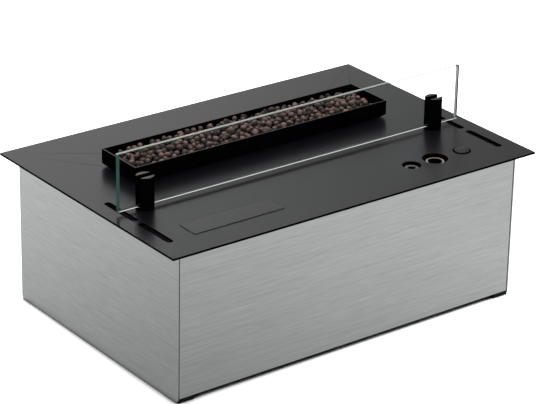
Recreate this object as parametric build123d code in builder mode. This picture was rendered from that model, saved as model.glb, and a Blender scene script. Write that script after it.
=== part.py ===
from build123d import *
from math import cos, pi, radians, sin, tan
import os
import random

os.makedirs("parts", exist_ok=True)

# Bioethanol fireplace with a drop-in casing, a line burner under stones and a glass screen.
# Millimetres. X runs along the front, Y runs to the back, Z runs up from the floor.
# The origin is on the floor under the middle of the plate.

# ---------------------------------------------------------------- driving dimensions

# Plate, casing and feet
plate_length = 500.0
plate_width = 340.0
plate_thickness = 2.6
plate_height = 180.0
plate_side_overhang = 16.0
plate_front_overhang = 14.5
panel_thickness = 1.5
seam_gap = 1.2
side_panel_lift = 0.5
side_corner_radius = 4.0
foot_size = 20.0
foot_height = 5.0
pan_thickness = 1.5
pan_flange_height = 12.0
angle_leg = 14.0
angle_thickness = 1.5
angle_tab_thickness = 2.0

# Vent slots in the plate and the ducts under them
slot_width = 8.0
slot_length = 57.5
slot_gap = 7.8
slot_setback = 34.8
slot_inset = 4.5
duct_depth = 13.5
duct_height = 78.0
duct_wall = 1.0
duct_margin = 3.0

# Badge plate
badge_length = 118.0
badge_width = 28.0
badge_thickness = 0.6
badge_chamfer = 0.2
badge_inset = 53.0

# Glass screen and its posts
glass_inset = 14.0
glass_height = 66.5
glass_thickness = 6.0
glass_lift = 4.0
glass_setback = 123.0
glass_side_gap = 1.3
glass_corner_radius = 2.0
glass_edge_chamfer = 0.5
post_inset = 49.0
post_radius = 10.3
post_height = 38.0
post_chamfer = 0.5
post_stud_radius = 3.0
post_stud_length = 12.0
post_nut_radius = 5.7
post_nut_height = 5.0

# Burner tray, trough, grate and stones
tray_inset = 73.5
tray_width = 66.0
tray_height = 20.0
tray_wall = 1.5
tray_chamfer = 3.0
tray_setback = 211.0
gasket_thickness = 1.0
gasket_margin = 8.0
trough_end_inset = 24.5
trough_side_inset = 19.0
trough_depth = 36.0
trough_wall = 1.5
trough_clearance = 2.0
trough_end_flange = 14.0
trough_side_flange = 9.0
end_screw_offset = 9.0
end_screw_spread = 24.0
side_screw_offset = 5.5
side_screw_pitch = 100.0
grate_thickness = 1.0
grate_slot_pitch = 11.0
grate_slot_width = 6.0
grate_slot_margin = 3.0
grate_end_margin = 1.5
grate_side_margin = 0.4
wick_height = 20.0
wick_gap = 1.0
stone_radius = 5.2
stone_pitch = 10.9
stone_row_pitch = 11.2
stone_layer_rise = 7.0
stone_least_share = 0.78
stone_scatter = 0.5
stone_corners = 9
stone_seed = 7

# Igniter and flame sensor in the trough's left end
probe_drop = 3.2
probe_spread = 12.0
probe_reach = 22.0
probe_tail = 24.0
igniter_nut_length = 12.0
igniter_radius = 5.0
igniter_tail_radius = 3.6
igniter_tip_radius = 2.4
sensor_radius = 4.0
sensor_tip_radius = 1.5

# Heat shield and its liner round the trough
shield_end_gap = 33.0
shield_side_gap = 16.0
shield_floor_gap = 18.5
shield_wall = 1.2
shield_flange = 10.0
shield_stud_inset = 65.0
liner_thickness = 6.0
liner_top_gap = 8.0

# Fuel tank
tank_length = 128.0
tank_width = 170.0
tank_side_gap = 3.0
tank_height = 100.0
tank_wall = 1.5
tank_lip = 8.0
tank_front_gap = 6.0
tank_gasket_thickness = 1.5
tank_lid_thickness = 2.0
tank_screw_columns = 3
tank_screw_rows = 4

# Control row: socket, filler and button
control_setback = 50.4
filler_inset = 106.0
socket_pitch = 34.3
button_pitch = 39.5
filler_hole_radius = 14.7
filler_recess = 3.4
filler_outer_radius = 10.85
filler_bore_radius = 8.0
filler_bore_depth = 9.0
filler_seat_radius = 5.0
filler_seat_thickness = 2.0
filler_barrel_radius = 8.5
filler_barrel_depth = 20.0
filler_guide_thickness = 3.0
filler_skirt = 3.0
filler_shoulder = 3.0
neck_chamfer = 0.5
cup_depth = 15.0
cup_wall = 2.0
cup_flange_radius = 18.5
valve_disc_radius = 7.4
valve_disc_thickness = 2.0
valve_stem_radius = 2.0
valve_stem_gap = 0.3
valve_seat_gap = 0.1
valve_travel = 4.0
valve_tip_length = 1.8
valve_spring_radius = 5.0
valve_spring_wire = 0.5
valve_spring_turns = 6
hose_wall = 3.2
hose_overlap = 14.0
stub_height = 20.0
clip_thickness = 1.2
clip_height = 8.0
clip_end_margin = 2.0
clip_ear_length = 4.8

# Charging socket
socket_hole_radius = 10.75
socket_recess = 3.4
socket_ring_radius = 8.6
socket_bore_radius = 4.5
socket_bore_depth = 9.0
socket_key_width = 2.4
socket_key_depth = 1.6
socket_chamfer = 0.4
socket_depth = 17.0
socket_flange_radius = 15.0
socket_wall = 1.5

# Power button
button_hole_radius = 10.5
button_ring_radius = 10.3
button_ring_width = 1.2
button_ring_lift = 0.3
button_ring_chamfer = 0.15
button_cap_gap = 0.3
button_cap_lift = 0.8
button_cap_thickness = 3.5
button_cap_round = 0.4
button_travel = 1.5
button_depth = 18.0
button_floor = 2.0
button_flange_radius = 14.0
button_stem_radius = 2.5
button_spring_radius = 5.0
button_spring_wire = 0.4
button_spring_turns = 6
switch_size = 12.0
switch_height = 6.0
switch_chamfer = 0.8
flange_thickness = 2.0

# Level sender and breather on the tank lid
level_offset_x = 30.0
level_offset_y = 30.0
level_stem_radius = 3.0
level_head_radius = 9.0
level_head_height = 8.0
level_stop_radius = 5.0
level_stop_height = 2.0
level_floor_gap = 3.0
level_top_gap = 3.5
float_radius = 11.0
float_height = 16.0
float_gap = 0.3
float_rest_gap = 0.2
float_round = 1.5
breather_offset = 40.0
breather_radius = 6.0
breather_height = 14.0
breather_body_height = 7.0
breather_top_radius = 3.6
breather_spigot_radius = 3.0
breather_chamfer = 1.0

# Pump, pipes
pump_gap = 42.0
pump_setback = 41.0
motor_radius = 14.0
motor_height = 40.0
pump_radius = 18.0
pump_height = 16.0
pump_floor = 4.0
pump_chamber_radius = 11.3
pump_cover_thickness = 4.0
rotor_gap = 0.3
rotor_hub_radius = 6.0
rotor_vanes = 6
rotor_vane_width = 2.5
shaft_radius = 2.0
shaft_gap = 0.06
shaft_socket = 6.0
port_offset = 8.0
pipe_radius = 3.0
pipe_bore = 2.0
port_bore = 1.0
port_height = 10.0
pipe_gap = 0.4
suction_inset = 29.0
suction_rise = 32.0
feed_rise = 40.0
pipe_straight = 2.0

# Cooling fan on the left duct
fan_size = 60.0
fan_depth = 15.0
fan_bore_radius = 28.0
fan_hub_radius = 12.0
fan_hub_gap = 0.6
fan_shaft_radius = 1.5
fan_shaft_length = 2.0
fan_tip_gap = 0.7
fan_blades = 7
fan_blade_thickness = 1.6
fan_blade_pitch = 38.0
fan_blade_root = 9.6
fan_strut_thickness = 2.0
fan_strut_width = 3.0
fan_drop = 45.0

# Control box, board and battery
box_length = 138.0
box_width = 80.0
box_height = 55.0
box_wall = 2.0
box_inset_x = 30.0
box_inset_y = 8.0
box_window_length = 130.0
box_window_height = 14.0
board_height = 14.0
board_thickness = 1.6
board_gap = 3.0
boss_radius = 3.0
lid_thickness = 2.0
plug_size = 8.0
plug_pitch = 18.0
plug_count = 7
chip_size = 23.0
relay_length = 35.0
relay_width = 17.5
board_part_offset = 42.0
board_part_height = 4.0
capacitor_radius = 4.0
capacitor_height = 12.0
capacitor_pitch = 17.5
battery_length = 110.0
battery_width = 56.0
battery_height = 38.0
battery_radius = 4.0
battery_gap = 30.0
lead_radius = 1.5
bend_share = 0.45
lead_lane = 4.0
lead_end_lane = 15.0
lead_short_drop = 10.0
lead_long_drop = 25.0
lead_near_run = 12.0
lead_step_run = 20.0
lead_far_run = 30.0
lead_entry_run = 50.0

# Fasteners
small_screw_radius = 1.5
small_hole_radius = 1.7
small_head_radius = 2.75
small_head_height = 2.2
small_nut_radius = 3.1
small_nut_height = 2.4
flat_head_height = 1.0
stud_radius = 2.0
stud_hole_radius = 2.2
stud_length = 9.0
stud_nut_radius = 3.9
stud_nut_height = 3.2
spring_clear = 0.1

# ---------------------------------------------------------------- derived places

plate_top = plate_height
plate_under = plate_top - plate_thickness
front_edge = -plate_width / 2
casing_x = plate_length / 2 - plate_side_overhang
casing_y = plate_width / 2 - plate_front_overhang
inner_x = casing_x - panel_thickness
inner_y = casing_y - panel_thickness
pan_top = foot_height + pan_thickness
control_y = front_edge + control_setback
filler_x = plate_length / 2 - filler_inset
socket_x = filler_x - socket_pitch
button_x = filler_x + button_pitch
badge_x = -plate_length / 2 + badge_inset + badge_length / 2
glass_y = front_edge + glass_setback
glass_length = plate_length - 2 * glass_inset
post_x = plate_length / 2 - post_inset
tray_y = front_edge + tray_setback
tray_length = plate_length - 2 * tray_inset

slot_x = inner_x - slot_inset
slot_front_y = front_edge + slot_setback + slot_length / 2
slot_rear_y = slot_front_y + slot_length + slot_gap
slot_places = [(side * slot_x, y) for side in (-1, 1) for y in (slot_front_y, slot_rear_y)]

trough_length = tray_length - 2 * trough_end_inset
trough_width = tray_width - 2 * trough_side_inset
opening_length = trough_length + 2 * trough_clearance
opening_width = trough_width + 2 * trough_clearance
tray_bottom = plate_top + gasket_thickness
tray_floor = tray_bottom + tray_wall
flange_top = tray_floor + trough_wall
trough_bottom = tray_floor - trough_depth
end_screw_x = trough_length / 2 + end_screw_offset
side_screw_y = trough_width / 2 + side_screw_offset
trough_screw_places = [
    (side * end_screw_x, tray_y + row * end_screw_spread / 2) for side in (-1, 1) for row in (-1, 1)
] + [
    (column * side_screw_pitch, tray_y + row * side_screw_y) for column in (-1, 0, 1) for row in (-1, 1)
]

shield_x = trough_length / 2 + shield_end_gap
shield_y = trough_width / 2 + shield_side_gap
shield_bottom = trough_bottom - shield_floor_gap
shield_stud_y = shield_y + shield_flange / 2
shield_stud_x = shield_x - shield_stud_inset
shield_stud_places = [
    (side * shield_stud_x, tray_y + row * shield_stud_y) for side in (-1, 1) for row in (-1, 1)
]
corner_stud_offset = angle_leg / 2 + angle_thickness / 2
corner_stud_places = [
    (sx * (inner_x - corner_stud_offset), sy * (inner_y - corner_stud_offset))
    for sx in (-1, 1)
    for sy in (-1, 1)
]

duct_inner_x = inner_x - duct_depth
tank_x = duct_inner_x - tank_side_gap - tank_lip - tank_length / 2
tank_y = -inner_y + tank_front_gap + tank_lip + tank_width / 2
tank_top = pan_top + tank_height
lid_bottom = tank_top + tank_gasket_thickness
lid_top = lid_bottom + tank_lid_thickness
tank_screw_x = tank_length / 2 + tank_lip / 2
tank_screw_y = tank_width / 2 + tank_lip / 2
level_x = tank_x + level_offset_x
level_y = tank_y + level_offset_y
breather_x = tank_x - breather_offset
pump_x = tank_x - tank_length / 2 - tank_lip - pump_gap
pump_y = tray_y - pump_setback
suction_x = tank_x - tank_length / 2 + suction_inset
feed_x = pump_x - port_offset

neck_top = plate_top - filler_recess
seat_top = neck_top - filler_bore_depth
seat_bottom = seat_top - filler_seat_thickness
guide_top = seat_bottom - filler_barrel_depth
guide_bottom = guide_top - filler_guide_thickness
neck_bottom = guide_bottom - filler_skirt
cup_bottom = plate_under - cup_depth
cup_floor_top = cup_bottom + cup_wall
hose_radius = filler_outer_radius + hose_wall
hose_bottom = lid_top + stub_height - hose_overlap
hose_top = neck_bottom + hose_overlap

motor_top = pan_top + motor_height
pump_top = motor_top + pump_height
cover_top = pump_top + pump_cover_thickness
chamber_floor = motor_top + pump_floor

duct_front_y = slot_front_y - slot_length / 2 - duct_margin
duct_back_y = slot_rear_y + slot_length / 2 + duct_margin
duct_bottom = plate_under - duct_height
fan_y = (duct_front_y + duct_back_y) / 2
fan_z = plate_under - fan_drop

box_x = -inner_x + box_inset_x + box_length / 2
box_y = -inner_y + box_inset_y + box_width / 2
box_back_y = box_y + box_width / 2
board_z = pan_top + box_wall + board_height
board_back_y = box_back_y - box_wall - board_gap
battery_front_y = box_back_y + battery_gap
plug_z = board_z + board_thickness + plug_size / 2

STANDING = (Align.CENTER, Align.CENTER, Align.MIN)
HANGING = (Align.CENTER, Align.CENTER, Align.MAX)


def save(piece, name):
    """Label a finished piece and write it to its own file."""
    piece.part.label = name
    export_step(piece.part, f"parts/{name}.step")


# ---------------------------------------------------------------- plate and casing

with BuildPart() as top_plate:
    with BuildSketch(Plane.XY.offset(plate_under)):
        Rectangle(plate_length, plate_width)
        with Locations(*slot_places):
            SlotOverall(slot_length, slot_width, rotation=90, mode=Mode.SUBTRACT)
        with Locations((0, tray_y)):
            Rectangle(opening_length, opening_width, mode=Mode.SUBTRACT)
        with Locations((filler_x, control_y)):
            Circle(filler_hole_radius, mode=Mode.SUBTRACT)
        with Locations((socket_x, control_y)):
            Circle(socket_hole_radius, mode=Mode.SUBTRACT)
        with Locations((button_x, control_y)):
            Circle(button_hole_radius, mode=Mode.SUBTRACT)
        with Locations((-post_x, glass_y), (post_x, glass_y)):
            Circle(post_stud_radius, mode=Mode.SUBTRACT)
        with Locations(*trough_screw_places):
            Circle(small_hole_radius, mode=Mode.SUBTRACT)
    extrude(amount=plate_thickness)
save(top_plate, "top_plate")

with BuildPart() as badge_plate:
    with BuildSketch(Plane.XY.offset(plate_top)):
        with Locations((badge_x, control_y)):
            Rectangle(badge_length, badge_width)
    extrude(amount=badge_thickness)
    chamfer(badge_plate.faces().sort_by(Axis.Z)[-1].edges(), badge_chamfer)
save(badge_plate, "badge_plate")


def side_panel(side):
    """Casing side with rounded lower corners; it reaches nearly to the floor."""
    with BuildPart() as panel:
        with BuildSketch(Plane.YZ.offset(side * inner_x)):
            with Locations((0, (plate_under + side_panel_lift) / 2)):
                Rectangle(2 * casing_y, plate_under - side_panel_lift)
        extrude(amount=side * panel_thickness)
        lower_corners = panel.edges().filter_by(Axis.X).group_by(Axis.Z)[0]
        fillet(lower_corners, side_corner_radius)
    return panel


left_side_panel = side_panel(-1)
save(left_side_panel, "left_side_panel")
right_side_panel = side_panel(1)
save(right_side_panel, "right_side_panel")


def end_panel(side):
    """Casing front or back, standing between the side panels on the line of the feet."""
    with BuildPart() as panel:
        with BuildSketch(Plane.XY.offset(foot_height)):
            with Locations((0, side * (inner_y + panel_thickness / 2))):
                Rectangle(2 * (inner_x - seam_gap), panel_thickness)
        extrude(amount=plate_under - foot_height)
    return panel


front_panel = end_panel(-1)
save(front_panel, "front_panel")
back_panel = end_panel(1)
save(back_panel, "back_panel")

with BuildPart() as base_pan:
    with BuildSketch(Plane.XY.offset(foot_height)):
        Rectangle(2 * inner_x, 2 * inner_y)
    extrude(amount=pan_thickness)
    with BuildSketch(Plane.XY.offset(pan_top)):
        Rectangle(2 * inner_x, 2 * inner_y)
        Rectangle(2 * (inner_x - pan_thickness), 2 * (inner_y - pan_thickness), mode=Mode.SUBTRACT)
    extrude(amount=pan_flange_height)
save(base_pan, "base_pan")

with BuildPart() as feet:
    with BuildSketch():
        with GridLocations(2 * inner_x - foot_size, 2 * casing_y - foot_size, 2, 2):
            Rectangle(foot_size, foot_size)
    extrude(amount=foot_height)
save(feet, "feet")

with BuildPart() as corner_angles:
    angle_bottom = pan_top + pan_flange_height
    with BuildSketch(Plane.XY.offset(angle_bottom)):
        with GridLocations(2 * inner_x - angle_leg, 2 * inner_y - angle_leg, 2, 2):
            Rectangle(angle_leg, angle_leg)
        inside = angle_leg - angle_thickness
        with GridLocations(
            2 * (inner_x - angle_thickness) - inside, 2 * (inner_y - angle_thickness) - inside, 2, 2
        ):
            Rectangle(inside, inside, mode=Mode.SUBTRACT)
    extrude(amount=plate_under - angle_bottom)
    with BuildSketch(Plane.XY.offset(plate_under - angle_tab_thickness)):
        with GridLocations(2 * inner_x - angle_leg, 2 * inner_y - angle_leg, 2, 2):
            Rectangle(angle_leg, angle_leg)
        with Locations(*corner_stud_places):
            Circle(stud_hole_radius, mode=Mode.SUBTRACT)
    extrude(amount=angle_tab_thickness)
save(corner_angles, "corner_angles")

with BuildPart() as plate_studs:
    with Locations(*[(x, y, plate_under) for x, y in corner_stud_places]):
        Cylinder(stud_radius, stud_length, align=HANGING)
    with Locations(*[(x, y, plate_under) for x, y in shield_stud_places]):
        Cylinder(small_screw_radius, stud_length, align=HANGING)
save(plate_studs, "plate_studs")

with BuildPart() as plate_nuts:
    with BuildSketch(Plane.XY.offset(plate_under - angle_tab_thickness)):
        with Locations(*corner_stud_places):
            RegularPolygon(stud_nut_radius, 6)
            Circle(stud_radius, mode=Mode.SUBTRACT)
    extrude(amount=-stud_nut_height)
    with BuildSketch(Plane.XY.offset(plate_under - shield_wall)):
        with Locations(*shield_stud_places):
            RegularPolygon(small_nut_radius, 6)
            Circle(small_screw_radius, mode=Mode.SUBTRACT)
    extrude(amount=-small_nut_height)
    with BuildSketch(Plane.XY.offset(plate_under)):
        with Locations(*trough_screw_places):
            RegularPolygon(small_nut_radius, 6)
            Circle(small_screw_radius, mode=Mode.SUBTRACT)
    extrude(amount=-small_nut_height)
save(plate_nuts, "plate_nuts")


def air_duct(side):
    """Folded sheet channel under one pair of vent slots; the casing side closes it."""
    middle_x = side * (duct_inner_x + duct_depth / 2)
    middle_y = (duct_front_y + duct_back_y) / 2
    depth_y = duct_back_y - duct_front_y + 2 * duct_wall
    with BuildPart() as duct:
        with BuildSketch(Plane.XY.offset(duct_bottom)):
            with Locations((middle_x, middle_y)):
                Rectangle(duct_depth, depth_y)
        extrude(amount=duct_height)
        with BuildSketch(Plane.XY.offset(duct_bottom + duct_wall)):
            with Locations((middle_x + side * duct_wall / 2, middle_y)):
                Rectangle(duct_depth - duct_wall, depth_y - 2 * duct_wall)
        extrude(amount=duct_height, mode=Mode.SUBTRACT)
        with BuildSketch(Plane.YZ.offset(side * duct_inner_x)):
            with Locations((fan_y, fan_z)):
                Circle(fan_bore_radius)
        extrude(amount=side * duct_wall, mode=Mode.SUBTRACT)
    return duct


with BuildPart() as air_ducts:
    add(air_duct(-1).part)
    add(air_duct(1).part)
save(air_ducts, "air_ducts")

# ---------------------------------------------------------------- glass screen


def glass_post(x):
    """Round post, slotted from the top for the glass, with a threaded end below the plate."""
    slot_bottom = plate_top + glass_lift
    with BuildPart() as post:
        with BuildSketch(Plane.XY.offset(plate_top)):
            with Locations((x, glass_y)):
                Circle(post_radius)
        extrude(amount=post_height)
        chamfer(post.edges().group_by(Axis.Z)[-1], post_chamfer)
        with BuildSketch(Plane.XY.offset(slot_bottom)):
            with Locations((x, glass_y)):
                Rectangle(3 * post_radius, glass_thickness + 2 * glass_side_gap)
        extrude(amount=post_height, mode=Mode.SUBTRACT)
        with Locations((x, glass_y, plate_top)):
            Cylinder(post_stud_radius, post_stud_length, align=HANGING)
    return post


glass_post_left = glass_post(-post_x)
save(glass_post_left, "glass_post_left")
glass_post_right = glass_post(post_x)
save(glass_post_right, "glass_post_right")

with BuildPart() as post_nuts:
    with BuildSketch(Plane.XY.offset(plate_under)):
        with Locations((-post_x, glass_y), (post_x, glass_y)):
            RegularPolygon(post_nut_radius, 6)
            Circle(post_stud_radius, mode=Mode.SUBTRACT)
    extrude(amount=-post_nut_height)
save(post_nuts, "post_nuts")

with BuildPart() as glass_panel:
    with BuildSketch(Plane.XZ.offset(-glass_y)):
        with Locations((0, plate_top + glass_lift + glass_height / 2)):
            RectangleRounded(glass_length, glass_height, glass_corner_radius)
    extrude(amount=glass_thickness / 2, both=True)
    chamfer(glass_panel.faces().filter_by(Axis.Y).edges(), glass_edge_chamfer)
save(glass_panel, "glass_panel")

# ---------------------------------------------------------------- burner

with BuildPart() as burner_tray:
    with BuildSketch(Plane.XY.offset(tray_bottom)):
        with Locations((0, tray_y)):
            Rectangle(tray_length, tray_width)
    extrude(amount=tray_height)
    chamfer(burner_tray.faces().sort_by(Axis.Z)[0].edges(), tray_chamfer)
    offset(amount=-tray_wall, openings=burner_tray.faces().sort_by(Axis.Z)[-1])
    with BuildSketch(Plane.XY.offset(tray_bottom)):
        with Locations((0, tray_y)):
            Rectangle(opening_length, opening_width)
        with Locations(*trough_screw_places):
            Circle(small_hole_radius)
    extrude(amount=tray_wall, mode=Mode.SUBTRACT)
save(burner_tray, "burner_tray")

with BuildPart() as tray_gasket:
    with BuildSketch(Plane.XY.offset(plate_top)):
        with Locations((0, tray_y)):
            Rectangle(tray_length - 2 * gasket_margin, tray_width - 2 * gasket_margin)
            Rectangle(opening_length, opening_width, mode=Mode.SUBTRACT)
        with Locations(*trough_screw_places):
            Circle(small_hole_radius, mode=Mode.SUBTRACT)
    extrude(amount=gasket_thickness)
save(tray_gasket, "tray_gasket")

probe_z = plate_under - small_nut_height - probe_drop
igniter_y = tray_y - probe_spread / 2
sensor_y = tray_y + probe_spread / 2
trough_end_x = -trough_length / 2

with BuildPart() as burner_trough:
    with BuildSketch(Plane.XY.offset(trough_bottom)):
        with Locations((0, tray_y)):
            Rectangle(trough_length, trough_width)
    extrude(amount=trough_depth)
    with BuildSketch(Plane.XY.offset(tray_floor)):
        with Locations((0, tray_y)):
            Rectangle(trough_length + 2 * trough_end_flange, trough_width + 2 * trough_side_flange)
        with Locations(*trough_screw_places):
            Circle(small_hole_radius, mode=Mode.SUBTRACT)
    extrude(amount=trough_wall)
    with BuildSketch(Plane.XY.offset(trough_bottom + trough_wall)):
        with Locations((0, tray_y)):
            Rectangle(trough_length - 2 * trough_wall, trough_width - 2 * trough_wall)
    extrude(amount=trough_depth, mode=Mode.SUBTRACT)
    with Locations((feed_x, tray_y, trough_bottom)):
        Cylinder(pipe_bore, port_height, align=HANGING)
    with Locations((feed_x, tray_y, trough_bottom + trough_wall)):
        Cylinder(port_bore, port_height + trough_wall, align=HANGING, mode=Mode.SUBTRACT)
    with BuildSketch(Plane.YZ.offset(trough_end_x)):
        with Locations((igniter_y, probe_z)):
            Circle(igniter_tip_radius)
        with Locations((sensor_y, probe_z)):
            Circle(sensor_tip_radius)
    extrude(amount=trough_wall, mode=Mode.SUBTRACT)
save(burner_trough, "burner_trough")

with BuildPart() as trough_screws:
    with Locations(*[(x, y, flange_top) for x, y in trough_screw_places]):
        Cylinder(small_head_radius, flat_head_height, align=STANDING)
        Cylinder(small_screw_radius, flange_top - plate_under + small_nut_height, align=HANGING)
save(trough_screws, "trough_screws")

grate_length = 2 * (end_screw_x - small_head_radius - grate_end_margin)
grate_width = 2 * (side_screw_y - small_head_radius - grate_side_margin)
grate_slot_length = trough_width - 2 * grate_slot_margin
grate_slot_count = int((trough_length - 2 * grate_slot_margin) / grate_slot_pitch)
with BuildPart() as stone_grate:
    with BuildSketch(Plane.XY.offset(flange_top)):
        with Locations((0, tray_y)):
            Rectangle(grate_length, grate_width)
            with GridLocations(grate_slot_pitch, 1, grate_slot_count, 1):
                SlotOverall(grate_slot_length, grate_slot_width, rotation=90, mode=Mode.SUBTRACT)
    extrude(amount=grate_thickness)
save(stone_grate, "stone_grate")

with BuildPart() as ceramic_wick:
    wick_clear = 2 * (trough_wall + wick_gap)
    with BuildSketch(Plane.XY.offset(trough_bottom + trough_wall)):
        with Locations((0, tray_y)):
            Rectangle(trough_length - wick_clear, trough_width - wick_clear)
    extrude(amount=wick_height)
    fillet(ceramic_wick.faces().sort_by(Axis.Z)[-1].edges(), wick_gap)
save(ceramic_wick, "ceramic_wick")


def stone(place, chance):
    """Corners of one rough stone, scattered on a squashed ball that stands on its place."""
    golden_angle = pi * (3 - 5**0.5)
    shape = [chance.uniform(stone_least_share, 1.0) for axis in range(3)]
    corners = []
    for index in range(stone_corners):
        height = 1 - 2 * (index + 0.5) / stone_corners
        angle = index * golden_angle + chance.uniform(-stone_scatter, stone_scatter)
        ring = (1 - height**2) ** 0.5
        direction = (ring * cos(angle), ring * sin(angle), height)
        corners.append([stone_radius * s * d for s, d in zip(shape, direction)])
    lowest = min(corner[2] for corner in corners)
    return [(place[0] + x, place[1] + y, place[2] + z - lowest) for x, y, z in corners]


def stone_places():
    """Feet of two layers of stones; the upper ones stand over the gaps of the lower ones."""
    clear_length = tray_length - 2 * tray_wall - 2 * stone_radius
    clear_width = tray_width - 2 * tray_wall - 2 * stone_radius
    columns = int(clear_length / stone_pitch)
    rows = int(clear_width / stone_row_pitch)
    lower_z = flange_top + grate_thickness
    places = []
    for layer in (0, 1):
        z = lower_z + layer * stone_layer_rise
        for row in range(rows + 1 - layer):
            for column in range(columns + 1 - layer):
                x = (column - (columns - layer) / 2) * stone_pitch
                y = tray_y + (row - (rows - layer) / 2) * stone_row_pitch
                places.append((x, y, z))
    return places


with BuildPart() as lava_stones:
    chance = random.Random(stone_seed)
    add([ConvexPolyhedron(stone(place, chance), mode=Mode.PRIVATE) for place in stone_places()])
save(lava_stones, "lava_stones")

with BuildPart() as igniter:
    with BuildSketch(Plane.YZ.offset(trough_end_x)):
        with Locations((igniter_y, probe_z)):
            RegularPolygon(igniter_radius, 6)
    extrude(amount=-igniter_nut_length)
    with BuildSketch(Plane.YZ.offset(trough_end_x - igniter_nut_length)):
        with Locations((igniter_y, probe_z)):
            Circle(igniter_tail_radius)
    extrude(amount=igniter_nut_length - probe_tail)
    with BuildSketch(Plane.YZ.offset(trough_end_x)):
        with Locations((igniter_y, probe_z)):
            Circle(igniter_tip_radius)
    extrude(amount=probe_reach)
save(igniter, "igniter")

with BuildPart() as flame_sensor:
    with BuildSketch(Plane.YZ.offset(trough_end_x)):
        with Locations((sensor_y, probe_z)):
            Circle(sensor_radius)
    extrude(amount=-probe_tail)
    with BuildSketch(Plane.YZ.offset(trough_end_x)):
        with Locations((sensor_y, probe_z)):
            Circle(sensor_tip_radius)
    extrude(amount=probe_reach)
save(flame_sensor, "flame_sensor")

with BuildPart() as heat_shield:
    with BuildSketch(Plane.XY.offset(shield_bottom)):
        with Locations((0, tray_y)):
            Rectangle(2 * shield_x, 2 * shield_y)
    extrude(amount=plate_under - shield_bottom)
    with BuildSketch(Plane.XY.offset(plate_under - shield_wall)):
        with Locations((0, tray_y)):
            Rectangle(2 * shield_x, 2 * (shield_y + shield_flange))
        with Locations(*shield_stud_places):
            Circle(small_hole_radius, mode=Mode.SUBTRACT)
    extrude(amount=shield_wall)
    with BuildSketch(Plane.XY.offset(shield_bottom + shield_wall)):
        with Locations((0, tray_y)):
            Rectangle(2 * (shield_x - shield_wall), 2 * (shield_y - shield_wall))
    extrude(amount=plate_under - shield_bottom, mode=Mode.SUBTRACT)
    with BuildSketch(Plane.XY.offset(shield_bottom)):
        with Locations((feed_x, tray_y)):
            Circle(pipe_radius + pipe_gap)
    extrude(amount=shield_wall, mode=Mode.SUBTRACT)
    with BuildSketch(Plane.YZ.offset(-shield_x)):
        with Locations((igniter_y, probe_z), (sensor_y, probe_z)):
            Circle(lead_radius + pipe_gap)
    extrude(amount=shield_wall, mode=Mode.SUBTRACT)
save(heat_shield, "heat_shield")

with BuildPart() as insulation_liner:
    liner_x = shield_x - shield_wall
    liner_y = shield_y - shield_wall
    liner_bottom = shield_bottom + shield_wall
    liner_height = probe_z - liner_top_gap - liner_bottom
    with BuildSketch(Plane.XY.offset(liner_bottom)):
        with Locations((0, tray_y)):
            Rectangle(2 * liner_x, 2 * liner_y)
    extrude(amount=liner_height)
    with BuildSketch(Plane.XY.offset(liner_bottom + liner_thickness)):
        with Locations((0, tray_y)):
            Rectangle(2 * (liner_x - liner_thickness), 2 * (liner_y - liner_thickness))
    extrude(amount=liner_height, mode=Mode.SUBTRACT)
    with BuildSketch(Plane.XY.offset(liner_bottom)):
        with Locations((feed_x, tray_y)):
            Circle(pipe_radius + pipe_gap)
    extrude(amount=liner_thickness, mode=Mode.SUBTRACT)
save(insulation_liner, "insulation_liner")

# ---------------------------------------------------------------- fuel tank and its lid

tank_screw_places = [
    (tank_x + side * tank_screw_x, tank_y + (row / (tank_screw_rows - 1) - 0.5) * 2 * tank_screw_y)
    for side in (-1, 1)
    for row in range(tank_screw_rows)
] + [
    (tank_x + (column / (tank_screw_columns + 1) - 0.5) * 2 * tank_screw_x, tank_y + side * tank_screw_y)
    for side in (-1, 1)
    for column in range(1, tank_screw_columns + 1)
]

with BuildPart() as fuel_tank:
    with BuildSketch(Plane.XY.offset(pan_top)):
        with Locations((tank_x, tank_y)):
            Rectangle(tank_length, tank_width)
    extrude(amount=tank_height)
    with BuildSketch(Plane.XY.offset(tank_top - tank_wall)):
        with Locations((tank_x, tank_y)):
            Rectangle(tank_length + 2 * tank_lip, tank_width + 2 * tank_lip)
        with Locations(*tank_screw_places):
            Circle(small_screw_radius, mode=Mode.SUBTRACT)
    extrude(amount=tank_wall)
    with BuildSketch(Plane.XY.offset(pan_top + tank_wall)):
        with Locations((tank_x, tank_y)):
            Rectangle(tank_length - 2 * tank_wall, tank_width - 2 * tank_wall)
    extrude(amount=tank_height, mode=Mode.SUBTRACT)
save(fuel_tank, "fuel_tank")

with BuildPart() as tank_gasket:
    with BuildSketch(Plane.XY.offset(tank_top)):
        with Locations((tank_x, tank_y)):
            Rectangle(tank_length + 2 * tank_lip, tank_width + 2 * tank_lip)
            Rectangle(tank_length - 2 * tank_wall, tank_width - 2 * tank_wall, mode=Mode.SUBTRACT)
        with Locations(*tank_screw_places):
            Circle(small_hole_radius, mode=Mode.SUBTRACT)
    extrude(amount=tank_gasket_thickness)
save(tank_gasket, "tank_gasket")

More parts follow.
